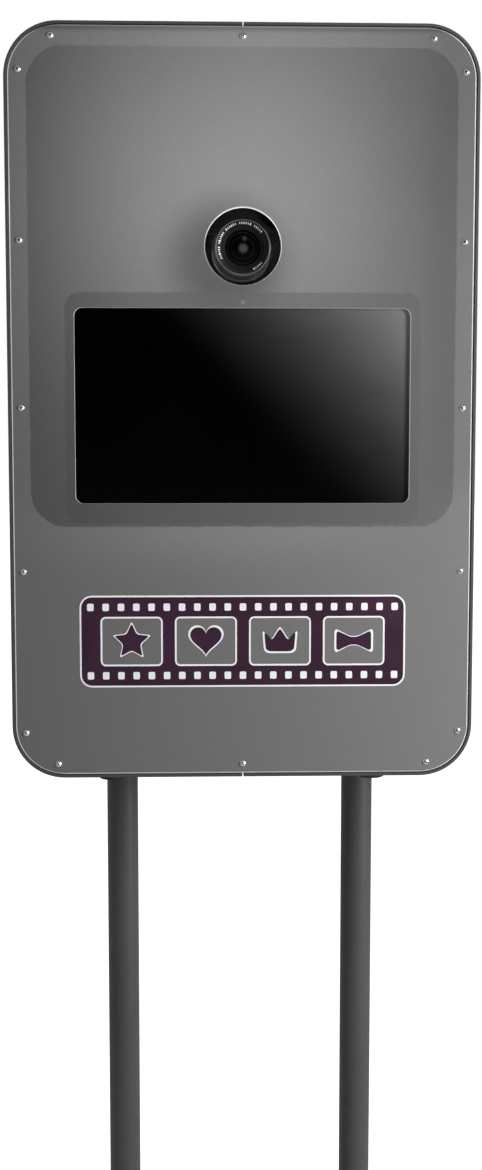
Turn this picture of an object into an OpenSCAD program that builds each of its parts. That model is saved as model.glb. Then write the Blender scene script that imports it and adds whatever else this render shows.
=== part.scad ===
// Photo booth: a shallow metal head with a camera, a touch screen and a lit front, carried on two tubes.
// +Z is up, the front faces -Y, and the origin is on the floor under the middle of the head.

/* [Housing] */
// Width of the housing
body_w = 530; // [500:1:700]
// Height of the housing
body_h = 848; // [820:1:1100]
// Depth of the housing, front edge to rear edge
body_d = 240; // [230:1:320]
// Radius of the housing's four corners, outside
corner_r = 60; // [50:1:90]
// Wall of the two bent housing halves
shell_t = 3; // [2:0.5:4]
// Gap where the two housing halves meet
seam_gap = 1.2; // [0.6:0.1:2]
// Height of the housing's underside above the floor
stand_h = 897; // [500:1:1200]

/* [Front] */
// Thickness of the acrylic front panel
panel_t = 4; // [3:0.5:6]
// How far the front panel sits inside the housing's front edge
panel_recess = 1; // [0:0.5:3]
// Gap round the front panel
panel_gap = 1; // [0.5:0.1:2]
// Chamfer on the front panel's edge
panel_chamfer = 1.4; // [0.5:0.1:2]
// Diameter of the camera hole
lens_hole_d = 86; // [80:1:110]
// Lens axis below the housing's top
lens_drop = 244; // [240:1:300]
// Screen centre below the housing's top
screen_drop = 422; // [420:1:500]
// Width of the screen cutout
screen_w = 380; // [300:1:400]
// Height of the screen cutout
screen_h = 220; // [180:1:230]
// Radius of the screen cutout's corners
screen_r = 9; // [4:1:20]
// Panel screws in from the housing's edge
screw_inset = 15; // [14:0.5:18]
// Panel screws in from the housing's edge round the corners
corner_screw_inset = 15; // [12:0.1:16]
// Angle of the corner screws from the ends of the corner arc
corner_screw_angle = 10; // [8:1:40]
// Decal centre above the housing's underside
decal_rise = 158; // [120:1:220]
// Width of the decal
decal_w = 370; // [200:1:420]
// Height of the decal
decal_h = 102; // [60:1:140]

/* [Frames] */
// Thickness of the front and rear frame plates
frame_t = 3; // [2:0.5:4]
// Light window in from the housing's sides
window_side = 24.5; // [22:0.5:40]
// Light window in from the housing's top
window_top = 26.5; // [24:0.5:45]
// Radius of the light window's corners
window_r = 42; // [10:1:60]
// Depth of the light tray behind the front frame
tray_d = 42; // [30:1:50]
// Sheet of the light tray
tray_t = 1.5; // [1:0.5:2]
// Radius of the tray's hole behind the lens
tray_hole_r = 60; // [50:1:70]

/* [Rear door] */
// Door opening in from the housing's sides
door_side = 40; // [34:1:60]
// Door opening in from the housing's top and bottom
door_end = 40; // [34:1:80]
// Radius of the door's corners
door_r = 40; // [10:1:60]
// Gap round the door
door_gap = 1; // [0.5:0.1:2]
// How far the rear frame sits inside the housing's rear edge
rear_recess = 2; // [0:0.5:5]
// Width of the ledge that the door closes on
ledge_w = 12; // [8:1:14]
// Radius of the hinge knuckles
knuckle_r = 4; // [3:0.5:6]
// Radius of the hinge pins
hinge_pin_r = 2.5; // [1.5:0.5:3]
// Height of each hinge
hinge_h = 80; // [50:5:120]
// Side of the ventilation fan
fan_w = 80; // [60:10:92]
// Depth of the fan
fan_d = 25; // [15:1:30]

/* [Stand] */
// Outside diameter of the tubes
tube_d = 38; // [30:1:45]
// Wall of the tubes
tube_t = 2; // [1.5:0.5:4]
// Distance between the tubes' axes
tube_pitch = 290; // [240:1:330]
// Length of tube inside the head
tube_in = 140; // [80:1:160]
// Clearance on radius between a tube and its socket
tube_fit = 0.08; // [0.05:0.01:0.1]
// Wall of the tube sockets
socket_t = 4; // [3:0.5:6]
// Height of the base sockets
base_socket_h = 70; // [40:1:120]
// Width of the base plate
base_w = 560; // [535:1:800]
// Depth of the base plate
base_d = 420; // [300:1:530]
// Thickness of the base plate
base_t = 8; // [5:1:15]
// Radius of the base plate's corners
base_r = 40; // [10:1:100]
// Height of the rubber feet under the base plate
pad_h = 10; // [5:1:20]
// Height of the rubber feet under the head
head_foot_h = 9; // [7:1:20]

/* [Camera] */
// Outside diameter of the lens
lens_d = 68.5; // [60:0.5:72]
// Length of the lens, front rim to mount
lens_len = 72; // [65:1:90]
// Travel of the front barrel when the lens zooms
zoom_travel = 12; // [5:1:14]

/* [Hidden] */
$fn = 64;

// overlap of cutting tools past the faces they cut
cut = 1;
// clearance between pieces that must not touch
gap = 0.3;
// clearance on radius between a screw or pin and its hole
screw_fit = 0.05;
sides = [-1, 1];

// heights
top_z = stand_h + body_h;
mid_z = stand_h + body_h / 2;
lens_z = top_z - lens_drop;
screen_z = top_z - screen_drop;
base_z = pad_h + base_t;

// depths, front to rear
front_y = -body_d / 2;
panel_y = front_y + panel_recess;
frame_y = panel_y + panel_t;
behind_y = frame_y + frame_t;
tray_y = behind_y + tray_d;
rear_y = body_d / 2;
door_y = rear_y - rear_recess - frame_t;
skin_y = door_y + frame_t;

// outlines
inner_w = body_w - 2 * shell_t;
inner_h = body_h - 2 * shell_t;
inner_r = corner_r - shell_t;
panel_w = inner_w - 2 * panel_gap;
panel_h = inner_h - 2 * panel_gap;
panel_r = inner_r - panel_gap;
door_w = body_w - 2 * door_side;
door_h = body_h - 2 * door_end;

// front panel screws: a row of five up each side, the outer ones round the corner, and one at each
// end's middle
arc_x = body_w / 2 - corner_r;
arc_z = body_h / 2 - corner_r;
arc_in = corner_r - corner_screw_inset;
side_top_z = arc_z + arc_in * sin(corner_screw_angle);
end_side_x = arc_x + arc_in * sin(corner_screw_angle);
screw_spots = concat(
    [for (s = sides, k = [-1:1]) [s * (body_w / 2 - screw_inset), k * side_top_z / 2]],
    [for (s = sides, k = sides) [s * (arc_x + arc_in * cos(corner_screw_angle)), k * side_top_z]],
    [for (s = sides, k = sides) [s * end_side_x, k * (arc_z + arc_in * cos(corner_screw_angle))]],
    [for (k = sides) [0, k * (body_h / 2 - screw_inset)]]
);
panel_screw_r = 2;
screw_head_r = 4;
screw_head_h = 2.4;

// monitor, behind the screen cutout
glass_w = screen_w + 24;
glass_h = screen_h + 42;
glass_r = 17;
glass_z = screen_z - 4;
glass_t = 3;
monitor_w = glass_w - 4;
monitor_h = glass_h - 4;
monitor_d = 32;
monitor_wall = 2.5;
monitor_y = frame_y + glass_t;
lcd_t = 7;
vesa = 100;
rail_h = 20;
rail_t = 3;
rail_y = monitor_y + monitor_d;
rail_leg_x = monitor_w / 2 + 12;
notch = 1.2;
window_w = body_w - 2 * window_side;
window_top_z = top_z - window_top;
window_low_z = glass_z - glass_h / 2 + 5;

// light tray and its strips of light
tray_low_z = glass_z + glass_h / 2 + 3;
tray_high_z = window_top_z + 3;
tray_w = window_w + 6;
strip_h = 12;
strip_t = 1.6;
strip_rows = 5;
strip_pitch = (tray_high_z - tray_low_z) / strip_rows;
strip_in = 14;
strip_mid = tray_hole_r + 8;
chip_w = 5;
chip_t = 1.4;
chips_each = 4;

// tubes and sockets
tube_r = tube_d / 2;
socket_r = tube_r + socket_t;
bore_r = tube_r + tube_fit;
floor_z = stand_h + shell_t;
floor_t = 3;
floor_w = 400;
floor_d = 100;
flange_w = 84;
flange_t = 6;
flange_bolt = 32;
tube_top_z = floor_z + floor_t + tube_in;
pass_r = tube_r + 1;
bolt_r = 3;
knob_z = floor_z + floor_t + 70;
knob_boss = 12;
knob_screw_r = 4;
knob_r = 20;
knob_t = 16;
base_flange_r = 45;
base_flange_t = 8;
base_bolt_pcd = 72;
foot_x = 153.5;
foot_in = 40;
foot_r = 16.5;
pad_r = 20;
pad_in = 45;

// camera
lens_y = frame_y + 3;
mount_y = lens_y + lens_len;
cam_y = mount_y + 2;
cam_d = 50;
cam_base = 44;
cam_top = 28;
hump_top = 56;
cam_left = -72;
cam_right = 57;
cradle_t = 3;
pivot_drop = cam_base + 13;
pivot_y = cam_y + cam_d / 2 - 5;
ear_t = 3;
ear_r = 8;
ear_x = 44;
pivot_r = 3;
knob_stem_r = 1.8;
shelf_z = lens_z - pivot_drop - 10;
shelf_t = 3;
post_screw_x = 20;
barrel_r = 31;
zoom_r = lens_d / 2;
zoom_len = 26;
mount_ring_t = 14;
barrel_nose = 6;
front_len = lens_len - mount_ring_t - zoom_len - barrel_nose - 0.5;
front_bearing = 20;

// small electronics on the back of the front frame
pc_w = 170;
pc_h = 150;
pc_d = 38;
pc_x = -115;
pc_z = stand_h + 156;
psu_w = 110;
psu_h = 200;
psu_d = 42;
psu_x = 95;
psu_z = stand_h + 154;
case_t = 1.5;
board_t = 1.6;
button_r = 5;

// mains inlet in the housing's underside
inlet_x = 70;
inlet_y = rear_y - 42;
inlet_w = 47;
inlet_d = 27;
inlet_h = 30;
inlet_lip = 2;
cavity_w = 24;
cavity_d = 17;
cavity_h = 18;
pin_in = 7;
rocker_r = 9;
rocker_w = 14;

// rear door furniture
hinge_x = -door_w / 2;
hinge_y = skin_y + knuckle_r;
hinge_rise = door_h / 2 - 130;
leaf_w = 24;
leaf_t = 2;
knuckles = 5;
knuckle_h = hinge_h / knuckles;
lock_x = door_w / 2 - 30;
lock_rise = door_h / 2 - 140;
lock_r = 9;
lock_core_r = 6;
cam_len = 28;
fan_z = top_z - 130;
vent_rows = 9;
vent_w = 60;
vent_h = 4;
vent_pitch = 12;
vent_z = stand_h + 190;

// ---- shared shapes ----

// rounded rectangle, centred, with true arcs
module round_rect(w, h, r) {
    square([w - 2 * r, h], center = true);
    square([w, h - 2 * r], center = true);
    for (x = sides, y = sides) translate([x * (w / 2 - r), y * (h / 2 - r)]) circle(r);
}

// an upright plate from depth y0 to y1, drawn in X and Z about the height z
module plate(y0, y1, z = mid_z)
    translate([0, y1, z]) rotate([90, 0, 0]) linear_extrude(y1 - y0) children();

// a round bar along Y from y0 to y1
module bar_y(r, y0, y1)
    translate([0, y0, 0]) rotate([-90, 0, 0]) cylinder(r = r, h = y1 - y0);

// a round bar along X from x0 to x1
module bar_x(r, x0, x1)
    translate([x0, 0, 0]) rotate([0, 90, 0]) cylinder(r = r, h = x1 - x0);

// a box given by two opposite corners
module block(a, b) translate(a) cube(b - a);

// dome-headed socket screw along +Z, head underside at 0
module dome_screw(head_r, head_h, shank_r, shank) {
    ball = (head_r * head_r + head_h * head_h) / (2 * head_h);
    difference() {
        intersection() {
            translate([0, 0, head_h - ball]) sphere(ball);
            cylinder(r = head_r, h = head_h);
        }
        translate([0, 0, head_h * 0.35]) cylinder(r = head_r * 0.36, h = head_h, $fn = 6);
    }
    translate([0, 0, -shank]) cylinder(r = shank_r - screw_fit, h = shank);
}

// cylinder-headed socket bolt along +Z, head underside at 0
module cap_bolt(head_r, head_h, shank_r, shank) {
    difference() {
        cylinder(r = head_r, h = head_h);
        translate([0, 0, head_h * 0.4]) cylinder(r = head_r * 0.5, h = head_h, $fn = 6);
    }
    translate([0, 0, -shank]) cylinder(r = shank_r - screw_fit, h = shank);
}

// star knob along +Z: six lobes round a hub, with its screw below
module star_knob(r, t, screw_r, screw) {
    difference() {
        cylinder(r = r, h = t);
        for (k = [0:5]) rotate(k * 60) translate([r * 1.12, 0, -cut])
            cylinder(r = r * 0.32, h = t + 2 * cut);
    }
    translate([0, 0, -screw]) cylinder(r = screw_r, h = screw);
}

module for_tubes() for (s = sides) translate([s * tube_pitch / 2, 0, 0]) children();

// ---- stand ----

module base_plate() {
    color([0.26, 0.26, 0.27]) difference() {
        translate([0, 0, pad_h]) linear_extrude(base_t) round_rect(base_w, base_d, base_r);
        for_tubes() for (k = [0:3]) rotate(45 + k * 90)
            translate([base_bolt_pcd / 2, 0, pad_h - cut]) cylinder(r = bolt_r, h = base_t + 2 * cut);
    }
}

module base_feet() {
    color([0.06, 0.06, 0.06]) for (x = sides, y = sides)
        translate([x * (base_w / 2 - pad_in), y * (base_d / 2 - pad_in), 0])
            cylinder(r = pad_r, h = pad_h);
}

module base_sockets() {
    color([0.26, 0.26, 0.27]) for_tubes() difference() {
        union() {
            translate([0, 0, base_z]) cylinder(r = base_flange_r, h = base_flange_t);
            translate([0, 0, base_z]) cylinder(r = socket_r + 2, h = base_socket_h);
        }
        translate([0, 0, base_z - cut]) cylinder(r = bore_r, h = base_socket_h + 2 * cut);
        for (k = [0:3]) rotate(45 + k * 90)
            translate([base_bolt_pcd / 2, 0, base_z - cut])
                cylinder(r = bolt_r, h = base_flange_t + 2 * cut);
        translate([0, 0, base_z + base_socket_h - 20]) bar_y(knob_screw_r, 0, socket_r + 2 + cut);
    }
}

// flange bolts and the set screws that hold the tubes
module base_fasteners() {
    color([0.6, 0.6, 0.62]) for_tubes() {
        for (k = [0:3]) rotate(45 + k * 90)
            translate([base_bolt_pcd / 2, 0, base_z + base_flange_t])
                cap_bolt(5, 6, bolt_r, base_flange_t + base_t);
        translate([0, 0, base_z + base_socket_h - 20]) difference() {
            bar_y(knob_screw_r - screw_fit, tube_r, socket_r + 2.5);
            rotate([-90, 0, 0]) translate([0, 0, socket_r - 1]) cylinder(r = 2.3, h = 6, $fn = 6);
        }
    }
}

module stand_tube(s) {
    color([0.26, 0.26, 0.27]) translate([s * tube_pitch / 2, 0, base_z]) difference() {
        cylinder(r = tube_r, h = tube_top_z - base_z);
        translate([0, 0, -cut]) cylinder(r = tube_r - tube_t, h = tube_top_z - base_z + 2 * cut);
    }
}

// ---- housing ----

// what passes through the bottom wall of the housing: tubes, flange bolts, foot screws and the
// mains inlet
module floor_cuts(z0, z1) {
    for_tubes() {
        translate([0, 0, z0]) cylinder(r = pass_r, h = z1 - z0);
        for (x = sides, y = sides)
            translate([x * flange_bolt, y * flange_bolt, z0]) cylinder(r = bolt_r, h = z1 - z0);
    }
    for (x = sides, y = sides)
        translate([x * foot_x, y * (body_d / 2 - foot_in), z0]) cylinder(r = 2, h = z1 - z0);
    block([inlet_x - inlet_w / 2, inlet_y - inlet_d / 2, z0], [inlet_x + inlet_w / 2,
        inlet_y + inlet_d / 2, z1]);
}

module top_cuts(z0, z1)
    for (x = sides, y = sides) translate([x * 25, y * 70, z0]) cylinder(r = 2, h = z1 - z0);

// one bent half of the housing band, s = -1 left and 1 right
module housing_half(s) {
    color([0.27, 0.27, 0.28]) difference() {
        plate(front_y, rear_y) intersection() {
            difference() {
                round_rect(body_w, body_h, corner_r);
                round_rect(inner_w, inner_h, inner_r);
            }
            translate([s * (seam_gap / 2 + body_w / 2), 0])
                square([body_w, body_h + 2 * cut], center = true);
        }
        floor_cuts(stand_h - cut, floor_z + cut);
        top_cuts(top_z - shell_t - cut, top_z + cut);
    }
}

module top_splice() {
    color([0.6, 0.6, 0.62]) difference() {
        block([-40, -90, top_z - shell_t - floor_t], [40, 90, top_z - shell_t]);
        top_cuts(top_z - shell_t - floor_t - cut, top_z);
    }
}

module floor_plate() {
    color([0.6, 0.6, 0.62]) difference() {
        block([-floor_w / 2, -floor_d / 2, floor_z], [floor_w / 2, floor_d / 2, floor_z + floor_t]);
        floor_cuts(floor_z - cut, floor_z + floor_t + cut);
    }
}

// splice screws, foot screws, and the screws of the monitor, its rails and the camera bracket
module machine_screws() {
    color([0.7, 0.7, 0.72]) {
        for (x = sides, y = sides) translate([x * 25, y * 70, top_z])
            dome_screw(3.8, 2, 2, shell_t + floor_t);
        for (x = sides, y = sides)
            translate([x * foot_x, y * (body_d / 2 - foot_in), stand_h - head_foot_h + 4])
            rotate([180, 0, 0]) cap_bolt(3.6, 3, 2, head_foot_h - 4 + shell_t);
        for (x = sides, z = sides) {
            translate([x * vesa / 2, rail_y + rail_t, glass_z + z * vesa / 2])
                rotate([-90, 0, 0]) dome_screw(3.8, 2, 2, rail_t + monitor_wall);
            translate([x * (window_w / 2 + 9), behind_y + rail_t, glass_z + z * vesa / 2])
                rotate([-90, 0, 0]) dome_screw(3.8, 2, 2, rail_t + frame_t);
        }
        for (x = sides) translate([x * post_screw_x, rail_y + rail_t + shelf_t, glass_z + vesa / 2])
            rotate([-90, 0, 0]) dome_screw(3.8, 2, 2, shelf_t + rail_t);
    }
}

// ---- front ----

// rounded plate from depth y0 to y1 whose front edge is chamfered by c, all in true faces
module chamfered_plate(w, h, r, y0, y1, c) {
    plate(y0 + c, y1) round_rect(w, h, r);
    // trapezium sections up and across, and a cone at each corner
    translate([0, 0, mid_z]) {
        rotate([90, 0, 90]) translate([0, 0, -(w / 2 - r)]) linear_extrude(w - 2 * r)
            polygon([[y0, -h / 2 + c], [y0 + c, -h / 2], [y0 + c, h / 2], [y0, h / 2 - c]]);
        translate([0, 0, -(h / 2 - r)]) linear_extrude(h - 2 * r)
            polygon([[-w / 2 + c, y0], [w / 2 - c, y0], [w / 2, y0 + c], [-w / 2, y0 + c]]);
        for (x = sides, z = sides) translate([x * (w / 2 - r), y0, z * (h / 2 - r)])
            rotate([-90, 0, 0]) cylinder(r1 = r - c, r2 = r, h = c);
    }
}

module screw_holes(r, y0, y1)
    plate(y0, y1) for (p = screw_spots) translate(p) circle(r);

module front_panel() {
    color([0.5, 0.5, 0.5]) difference() {
        chamfered_plate(panel_w, panel_h, panel_r, panel_y, frame_y, panel_chamfer);
        plate(panel_y - cut, frame_y + cut, screen_z) round_rect(screen_w, screen_h, screen_r);
        translate([0, 0, lens_z]) bar_y(lens_hole_d / 2, panel_y - cut, frame_y + cut);
        screw_holes(panel_screw_r, panel_y - cut, frame_y + cut);
    }
}

module panel_screws() {
    color([0.85, 0.85, 0.86]) for (p = screw_spots)
        translate([p[0], panel_y, mid_z + p[1]]) rotate([90, 0, 0])
            dome_screw(screw_head_r, screw_head_h, panel_screw_r, panel_t + frame_t);
}

// opening of the front frame: the light window with a notch for the monitor
module window_shape() {
    window_h = window_top_z - window_low_z;
    translate([0, (window_top_z + window_low_z) / 2 - mid_z]) round_rect(window_w, window_h, window_r);
    translate([0, glass_z - mid_z]) round_rect(glass_w + notch, glass_h + notch, glass_r + notch / 2);
}

module front_frame() {
    color([0.75, 0.75, 0.76]) difference() {
        plate(frame_y, behind_y) difference() {
            round_rect(panel_w, panel_h, panel_r);
            window_shape();
        }
        screw_holes(panel_screw_r, frame_y - cut, behind_y + cut);
        for (x = sides, z = sides) translate([x * (window_w / 2 + 9), 0, glass_z + z * vesa / 2])
            bar_y(2, frame_y - cut, behind_y + cut);
    }
}

// generic sticker: a strip of four picture frames
module decal() {
    decal_t = 0.3;
    frame_h = decal_h * 0.56;
    color([0.2, 0.09, 0.2]) plate(panel_y - decal_t, panel_y, stand_h + decal_rise) difference() {
        round_rect(decal_w, decal_h, 12);
        for (k = [-1.5:1:1.5]) translate([k * decal_w / 4.35, 0]) round_rect(decal_w / 5.2, frame_h, 6);
    }
}

// ---- brackets that tie the frames to the housing ----

module angle_bracket()
    difference() {
        union() {
            block([0, 0, -12], [2, 20, 12]);
            block([0, 0, -12], [16, 2, 12]);
        }
        translate([10, 0, 0]) bar_y(2, -cut, 2 + cut);
    }

module frame_brackets() {
    color([0.6, 0.6, 0.62]) for (s = sides, k = sides) {
        // on the side walls, behind the front frame and ahead of the rear frame
        translate([s * inner_w / 2, behind_y, mid_z + k * (side_top_z * 0.75)])
            scale([-s, 1, 1]) angle_bracket();
        translate([s * inner_w / 2, door_y, mid_z + k * (side_top_z * 0.5)])
            scale([-s, -1, 1]) angle_bracket();
    }
}

// ---- head sockets, feet and clamp knobs ----

module head_sockets() {
    color([0.26, 0.26, 0.27]) for_tubes() difference() {
        union() {
            linear_extrude_at(floor_z + floor_t, flange_t) round_rect(flange_w, flange_w, 8);
            translate([0, 0, floor_z + floor_t]) cylinder(r = socket_r, h = tube_in + 4);
            translate([0, 0, knob_z]) bar_y(10, 0, socket_r + knob_boss);
        }
        translate([0, 0, floor_z + floor_t - cut]) cylinder(r = bore_r, h = tube_in + cut);
        for (x = sides, y = sides)
            translate([x * flange_bolt, y * flange_bolt, floor_z])
                cylinder(r = bolt_r, h = floor_t + flange_t + cut);
        translate([0, 0, knob_z]) bar_y(knob_screw_r + tube_fit, 0, socket_r + knob_boss + cut);
    }
}

module linear_extrude_at(z, h) translate([0, 0, z]) linear_extrude(h) children();

module head_socket_bolts() {
    color([0.6, 0.6, 0.62]) for_tubes() for (x = sides, y = sides)
        translate([x * flange_bolt, y * flange_bolt, floor_z + floor_t + flange_t])
            cap_bolt(5, 6, bolt_r, flange_t + floor_t + shell_t);
}

module head_feet() {
    color([0.06, 0.06, 0.06]) for (x = sides, y = sides)
        translate([x * foot_x, y * (body_d / 2 - foot_in), stand_h]) rotate([180, 0, 0]) difference() {
            cylinder(r1 = foot_r, r2 = foot_r - 2, h = head_foot_h);
            translate([0, 0, -cut]) cylinder(r = 2, h = head_foot_h + 2 * cut);
            translate([0, 0, head_foot_h - 4]) cylinder(r = 4.4, h = 4 + cut);
        }
}

module clamp_knob(s) {
    screw = knob_boss + socket_t + 6;
    color([0.08, 0.08, 0.08]) translate([s * tube_pitch / 2, tube_r + gap + screw, knob_z])
        rotate([-90, 0, 0]) star_knob(knob_r, knob_t, knob_screw_r, screw);
}

// ---- monitor ----

module touch_glass() {
    color([0.02, 0.02, 0.02]) plate(frame_y, monitor_y, glass_z) round_rect(glass_w, glass_h, glass_r);
}

module lcd_panel() {
    color([0.1, 0.1, 0.1]) plate(monitor_y, monitor_y + lcd_t, screen_z)
        square([screen_w + 8, screen_h + 8], center = true);
}

module monitor_housing() {
    color([0.12, 0.12, 0.12]) difference() {
        plate(monitor_y, rail_y, glass_z) round_rect(monitor_w, monitor_h, 14);
        plate(monitor_y - cut, rail_y - monitor_wall, glass_z)
            round_rect(monitor_w - 2 * monitor_wall, monitor_h - 2 * monitor_wall, 12);
        for (x = sides, z = sides) translate([x * vesa / 2, 0, glass_z + z * vesa / 2])
            bar_y(2, rail_y - monitor_wall - cut, rail_y + cut);
    }
}

// two cranked rails carry the monitor on the front frame
module monitor_rails() {
    foot_out = window_w / 2 + 18;
    color([0.6, 0.6, 0.62]) for (z = sides) translate([0, 0, glass_z + z * vesa / 2]) difference() {
        union() {
            block([-rail_leg_x - rail_t, rail_y, -rail_h / 2], [rail_leg_x + rail_t, rail_y + rail_t,
                rail_h / 2]);
            for (s = sides) {
                block([s > 0 ? rail_leg_x : -rail_leg_x - rail_t, behind_y, -rail_h / 2],
                      [s > 0 ? rail_leg_x + rail_t : -rail_leg_x, rail_y + rail_t, rail_h / 2]);
                block([s > 0 ? rail_leg_x : -foot_out, behind_y, -rail_h / 2],
                      [s > 0 ? foot_out : -rail_leg_x, behind_y + rail_t, rail_h / 2]);
            }
        }
        for (x = sides) {
            translate([x * vesa / 2, 0, 0]) bar_y(2, rail_y - cut, rail_y + rail_t + cut);
            translate([x * (window_w / 2 + 9), 0, 0]) bar_y(2, behind_y - cut, behind_y + rail_t + cut);
            translate([x * post_screw_x, 0, 0]) bar_y(2, rail_y - cut, rail_y + rail_t + cut);
        }
    }
}

// ---- light ----

module light_tray() {
    color([0.9, 0.9, 0.9]) difference() {
        block([-tray_w / 2, behind_y, tray_low_z], [tray_w / 2, tray_y, tray_high_z]);
        block([-tray_w / 2 + tray_t, behind_y - cut, tray_low_z + tray_t],
              [tray_w / 2 - tray_t, tray_y - tray_t, tray_high_z - tray_t]);
        intersection() {
            translate([0, 0, lens_z]) bar_y(tray_hole_r, tray_y - tray_t - cut, tray_y + cut);
            block([-tray_w, tray_y - 2 * tray_t, tray_low_z + tray_t], [tray_w, tray_y + 2 * cut,
                tray_high_z]);
        }
    }
}

// rows of light strips, left and right, and how far each row keeps clear of the lens hole
function row_z(k) = tray_low_z + (k + 0.5) * strip_pitch;
function row_in(k) = abs(row_z(k) - lens_z) < tray_hole_r + strip_h ? strip_mid : 6;
function row_out() = tray_w / 2 - strip_in;

module led_boards() {
    color([0.85, 0.85, 0.82]) for (s = sides, k = [0:strip_rows - 1])
        block([s > 0 ? row_in(k) : -row_out(), tray_y - tray_t - strip_t, row_z(k) - strip_h / 2],
              [s > 0 ? row_out() : -row_in(k), tray_y - tray_t, row_z(k) + strip_h / 2]);
}

module led_chips() {
    color([0.95, 0.9, 0.6]) for (s = sides, k = [0:strip_rows - 1], c = [0:chips_each - 1]) {
        x = s * (row_in(k) + (row_out() - row_in(k)) * (c + 0.5) / chips_each);
        y = tray_y - tray_t - strip_t;
        block([x - chip_w / 2, y - chip_t, row_z(k) - chip_w / 2], [x + chip_w / 2, y,
            row_z(k) + chip_w / 2]);
    }
}

// ---- computer, power supply and mains ----

// a case that is open towards the front frame it is screwed to
module open_case(x, z, w, h, d) difference() {
    block([x - w / 2, behind_y, z - h / 2], [x + w / 2, behind_y + d, z + h / 2]);
    block([x - w / 2 + case_t, behind_y - cut, z - h / 2 + case_t],
          [x + w / 2 - case_t, behind_y + d - case_t, z + h / 2 - case_t]);
}

module pc_case() {
    color([0.15, 0.15, 0.16]) difference() {
        open_case(pc_x, pc_z, pc_w, pc_h, pc_d);
        translate([pc_x - pc_w / 2 + 20, behind_y + pc_d / 2, pc_z + pc_h / 2 - case_t - cut])
            cylinder(r = button_r + gap, h = case_t + 2 * cut);
        for (k = [-4:4]) block([pc_x + k * 14 - 2, behind_y + pc_d - case_t - cut, pc_z - 40],
                               [pc_x + k * 14 + 2, behind_y + pc_d + cut, pc_z + 40]);
    }
}

module pc_button() {
    color([0.7, 0.7, 0.72]) translate([pc_x - pc_w / 2 + 20, behind_y + pc_d / 2, pc_z + pc_h / 2]) {
        translate([0, 0, -case_t - 2]) cylinder(r = button_r, h = case_t + 4);
        translate([0, 0, -case_t - 4]) cylinder(r = button_r + 2, h = 2);
    }
}

module power_supply_case() {
    color([0.7, 0.7, 0.7]) difference() {
        open_case(psu_x, psu_z, psu_w, psu_h, psu_d);
        for (i = [-4:4], k = [-5:5]) translate([psu_x + i * 10, 0, psu_z + k * 14])
            bar_y(3, behind_y + psu_d - case_t - cut, behind_y + psu_d + cut);
        block([psu_x - psu_w / 2 + 8, behind_y + 6, psu_z - psu_h / 2 - cut],
              [psu_x + psu_w / 2 - 8, behind_y + 24, psu_z - psu_h / 2 + case_t + cut]);
    }
}

// boards stand on pillars off the front frame, inside their cases
module board_at(x, z, w, h, parts) {
    block([x - w / 2, behind_y + 6, z - h / 2], [x + w / 2, behind_y + 6 + board_t, z + h / 2]);
    for (i = sides, k = sides) translate([x + i * (w / 2 - 6), 0, z + k * (h / 2 - 6)])
        bar_y(3, behind_y, behind_y + 6);
    for (p = parts) translate([x + p[0], behind_y + 6 + board_t, z + p[1]])
        translate([-p[2] / 2, 0, -p[3] / 2]) cube([p[2], p[4], p[3]]);
}

module circuit_boards() {
    color([0.05, 0.22, 0.12]) {
        board_at(pc_x, pc_z, pc_w - 20, pc_h - 24, [[0, 10, 50, 50, 18], [50, -30, 30, 40, 8],
            [-45, -40, 40, 20, 12]]);
        board_at(psu_x, psu_z, psu_w - 14, psu_h - 30, [[0, 50, 46, 40, 26], [-25, -15, 26, 50, 24],
            [22, -20, 24, 40, 20]]);
    }
}

// inlet block: flange outside, body inside, a socket for the plug and a pocket for the rocker
module power_inlet() {
    color([0.06, 0.06, 0.06]) translate([inlet_x, inlet_y, stand_h]) difference() {
        union() {
            block([-inlet_w / 2 - 3, -inlet_d / 2 - 3, -inlet_lip], [inlet_w / 2 + 3, inlet_d / 2 + 3,
                0]);
            block([-inlet_w / 2 + gap, -inlet_d / 2 + gap, -inlet_lip], [inlet_w / 2 - gap,
                inlet_d / 2 - gap, inlet_h]);
        }
        block([-inlet_w / 2 + 2, -cavity_d / 2, -inlet_lip - cut],
              [-inlet_w / 2 + 2 + cavity_w, cavity_d / 2, cavity_h]);
        translate([inlet_w / 2 - 10, 0, rocker_r - inlet_lip - 1.5])
            bar_x(rocker_r + gap, -rocker_w / 2 - gap, rocker_w / 2 + gap);
        block([inlet_w / 2 - 10 - rocker_w / 2 - gap, -rocker_r - gap, -inlet_lip - cut],
              [inlet_w / 2 - 10 + rocker_w / 2 + gap, rocker_r + gap, rocker_r - inlet_lip - 1.5]);
    }
}

module inlet_pins() {
    pin_x = -inlet_w / 2 + 2 + cavity_w / 2;
    color([0.8, 0.8, 0.8]) translate([inlet_x + pin_x, inlet_y, stand_h])
        for (p = [[-7, 2], [0, -2.5], [7, 2]]) translate([p[0] - 1, p[1] - 2, pin_in])
            cube([2, 4, cavity_h - pin_in]);
}

// a rocker with a shallow V face, turning in a round pocket
module power_switch() {
    low = 5 + 12 * tan(12);
    color([0.6, 0.05, 0.05])
        translate([inlet_x + inlet_w / 2 - 10, inlet_y, stand_h + rocker_r - inlet_lip - 1.5])
        rotate([10, 0, 0]) rotate([90, 0, 90]) translate([0, 0, -rocker_w / 2]) linear_extrude(rocker_w)
            intersection() {
                circle(rocker_r);
                polygon([[0, -5], [12, -low], [12, 12], [-12, 12], [-12, -low]]);
            }
}

// ---- camera and its carrier ----

module at_lens() translate([0, 0, lens_z]) children();

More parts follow.
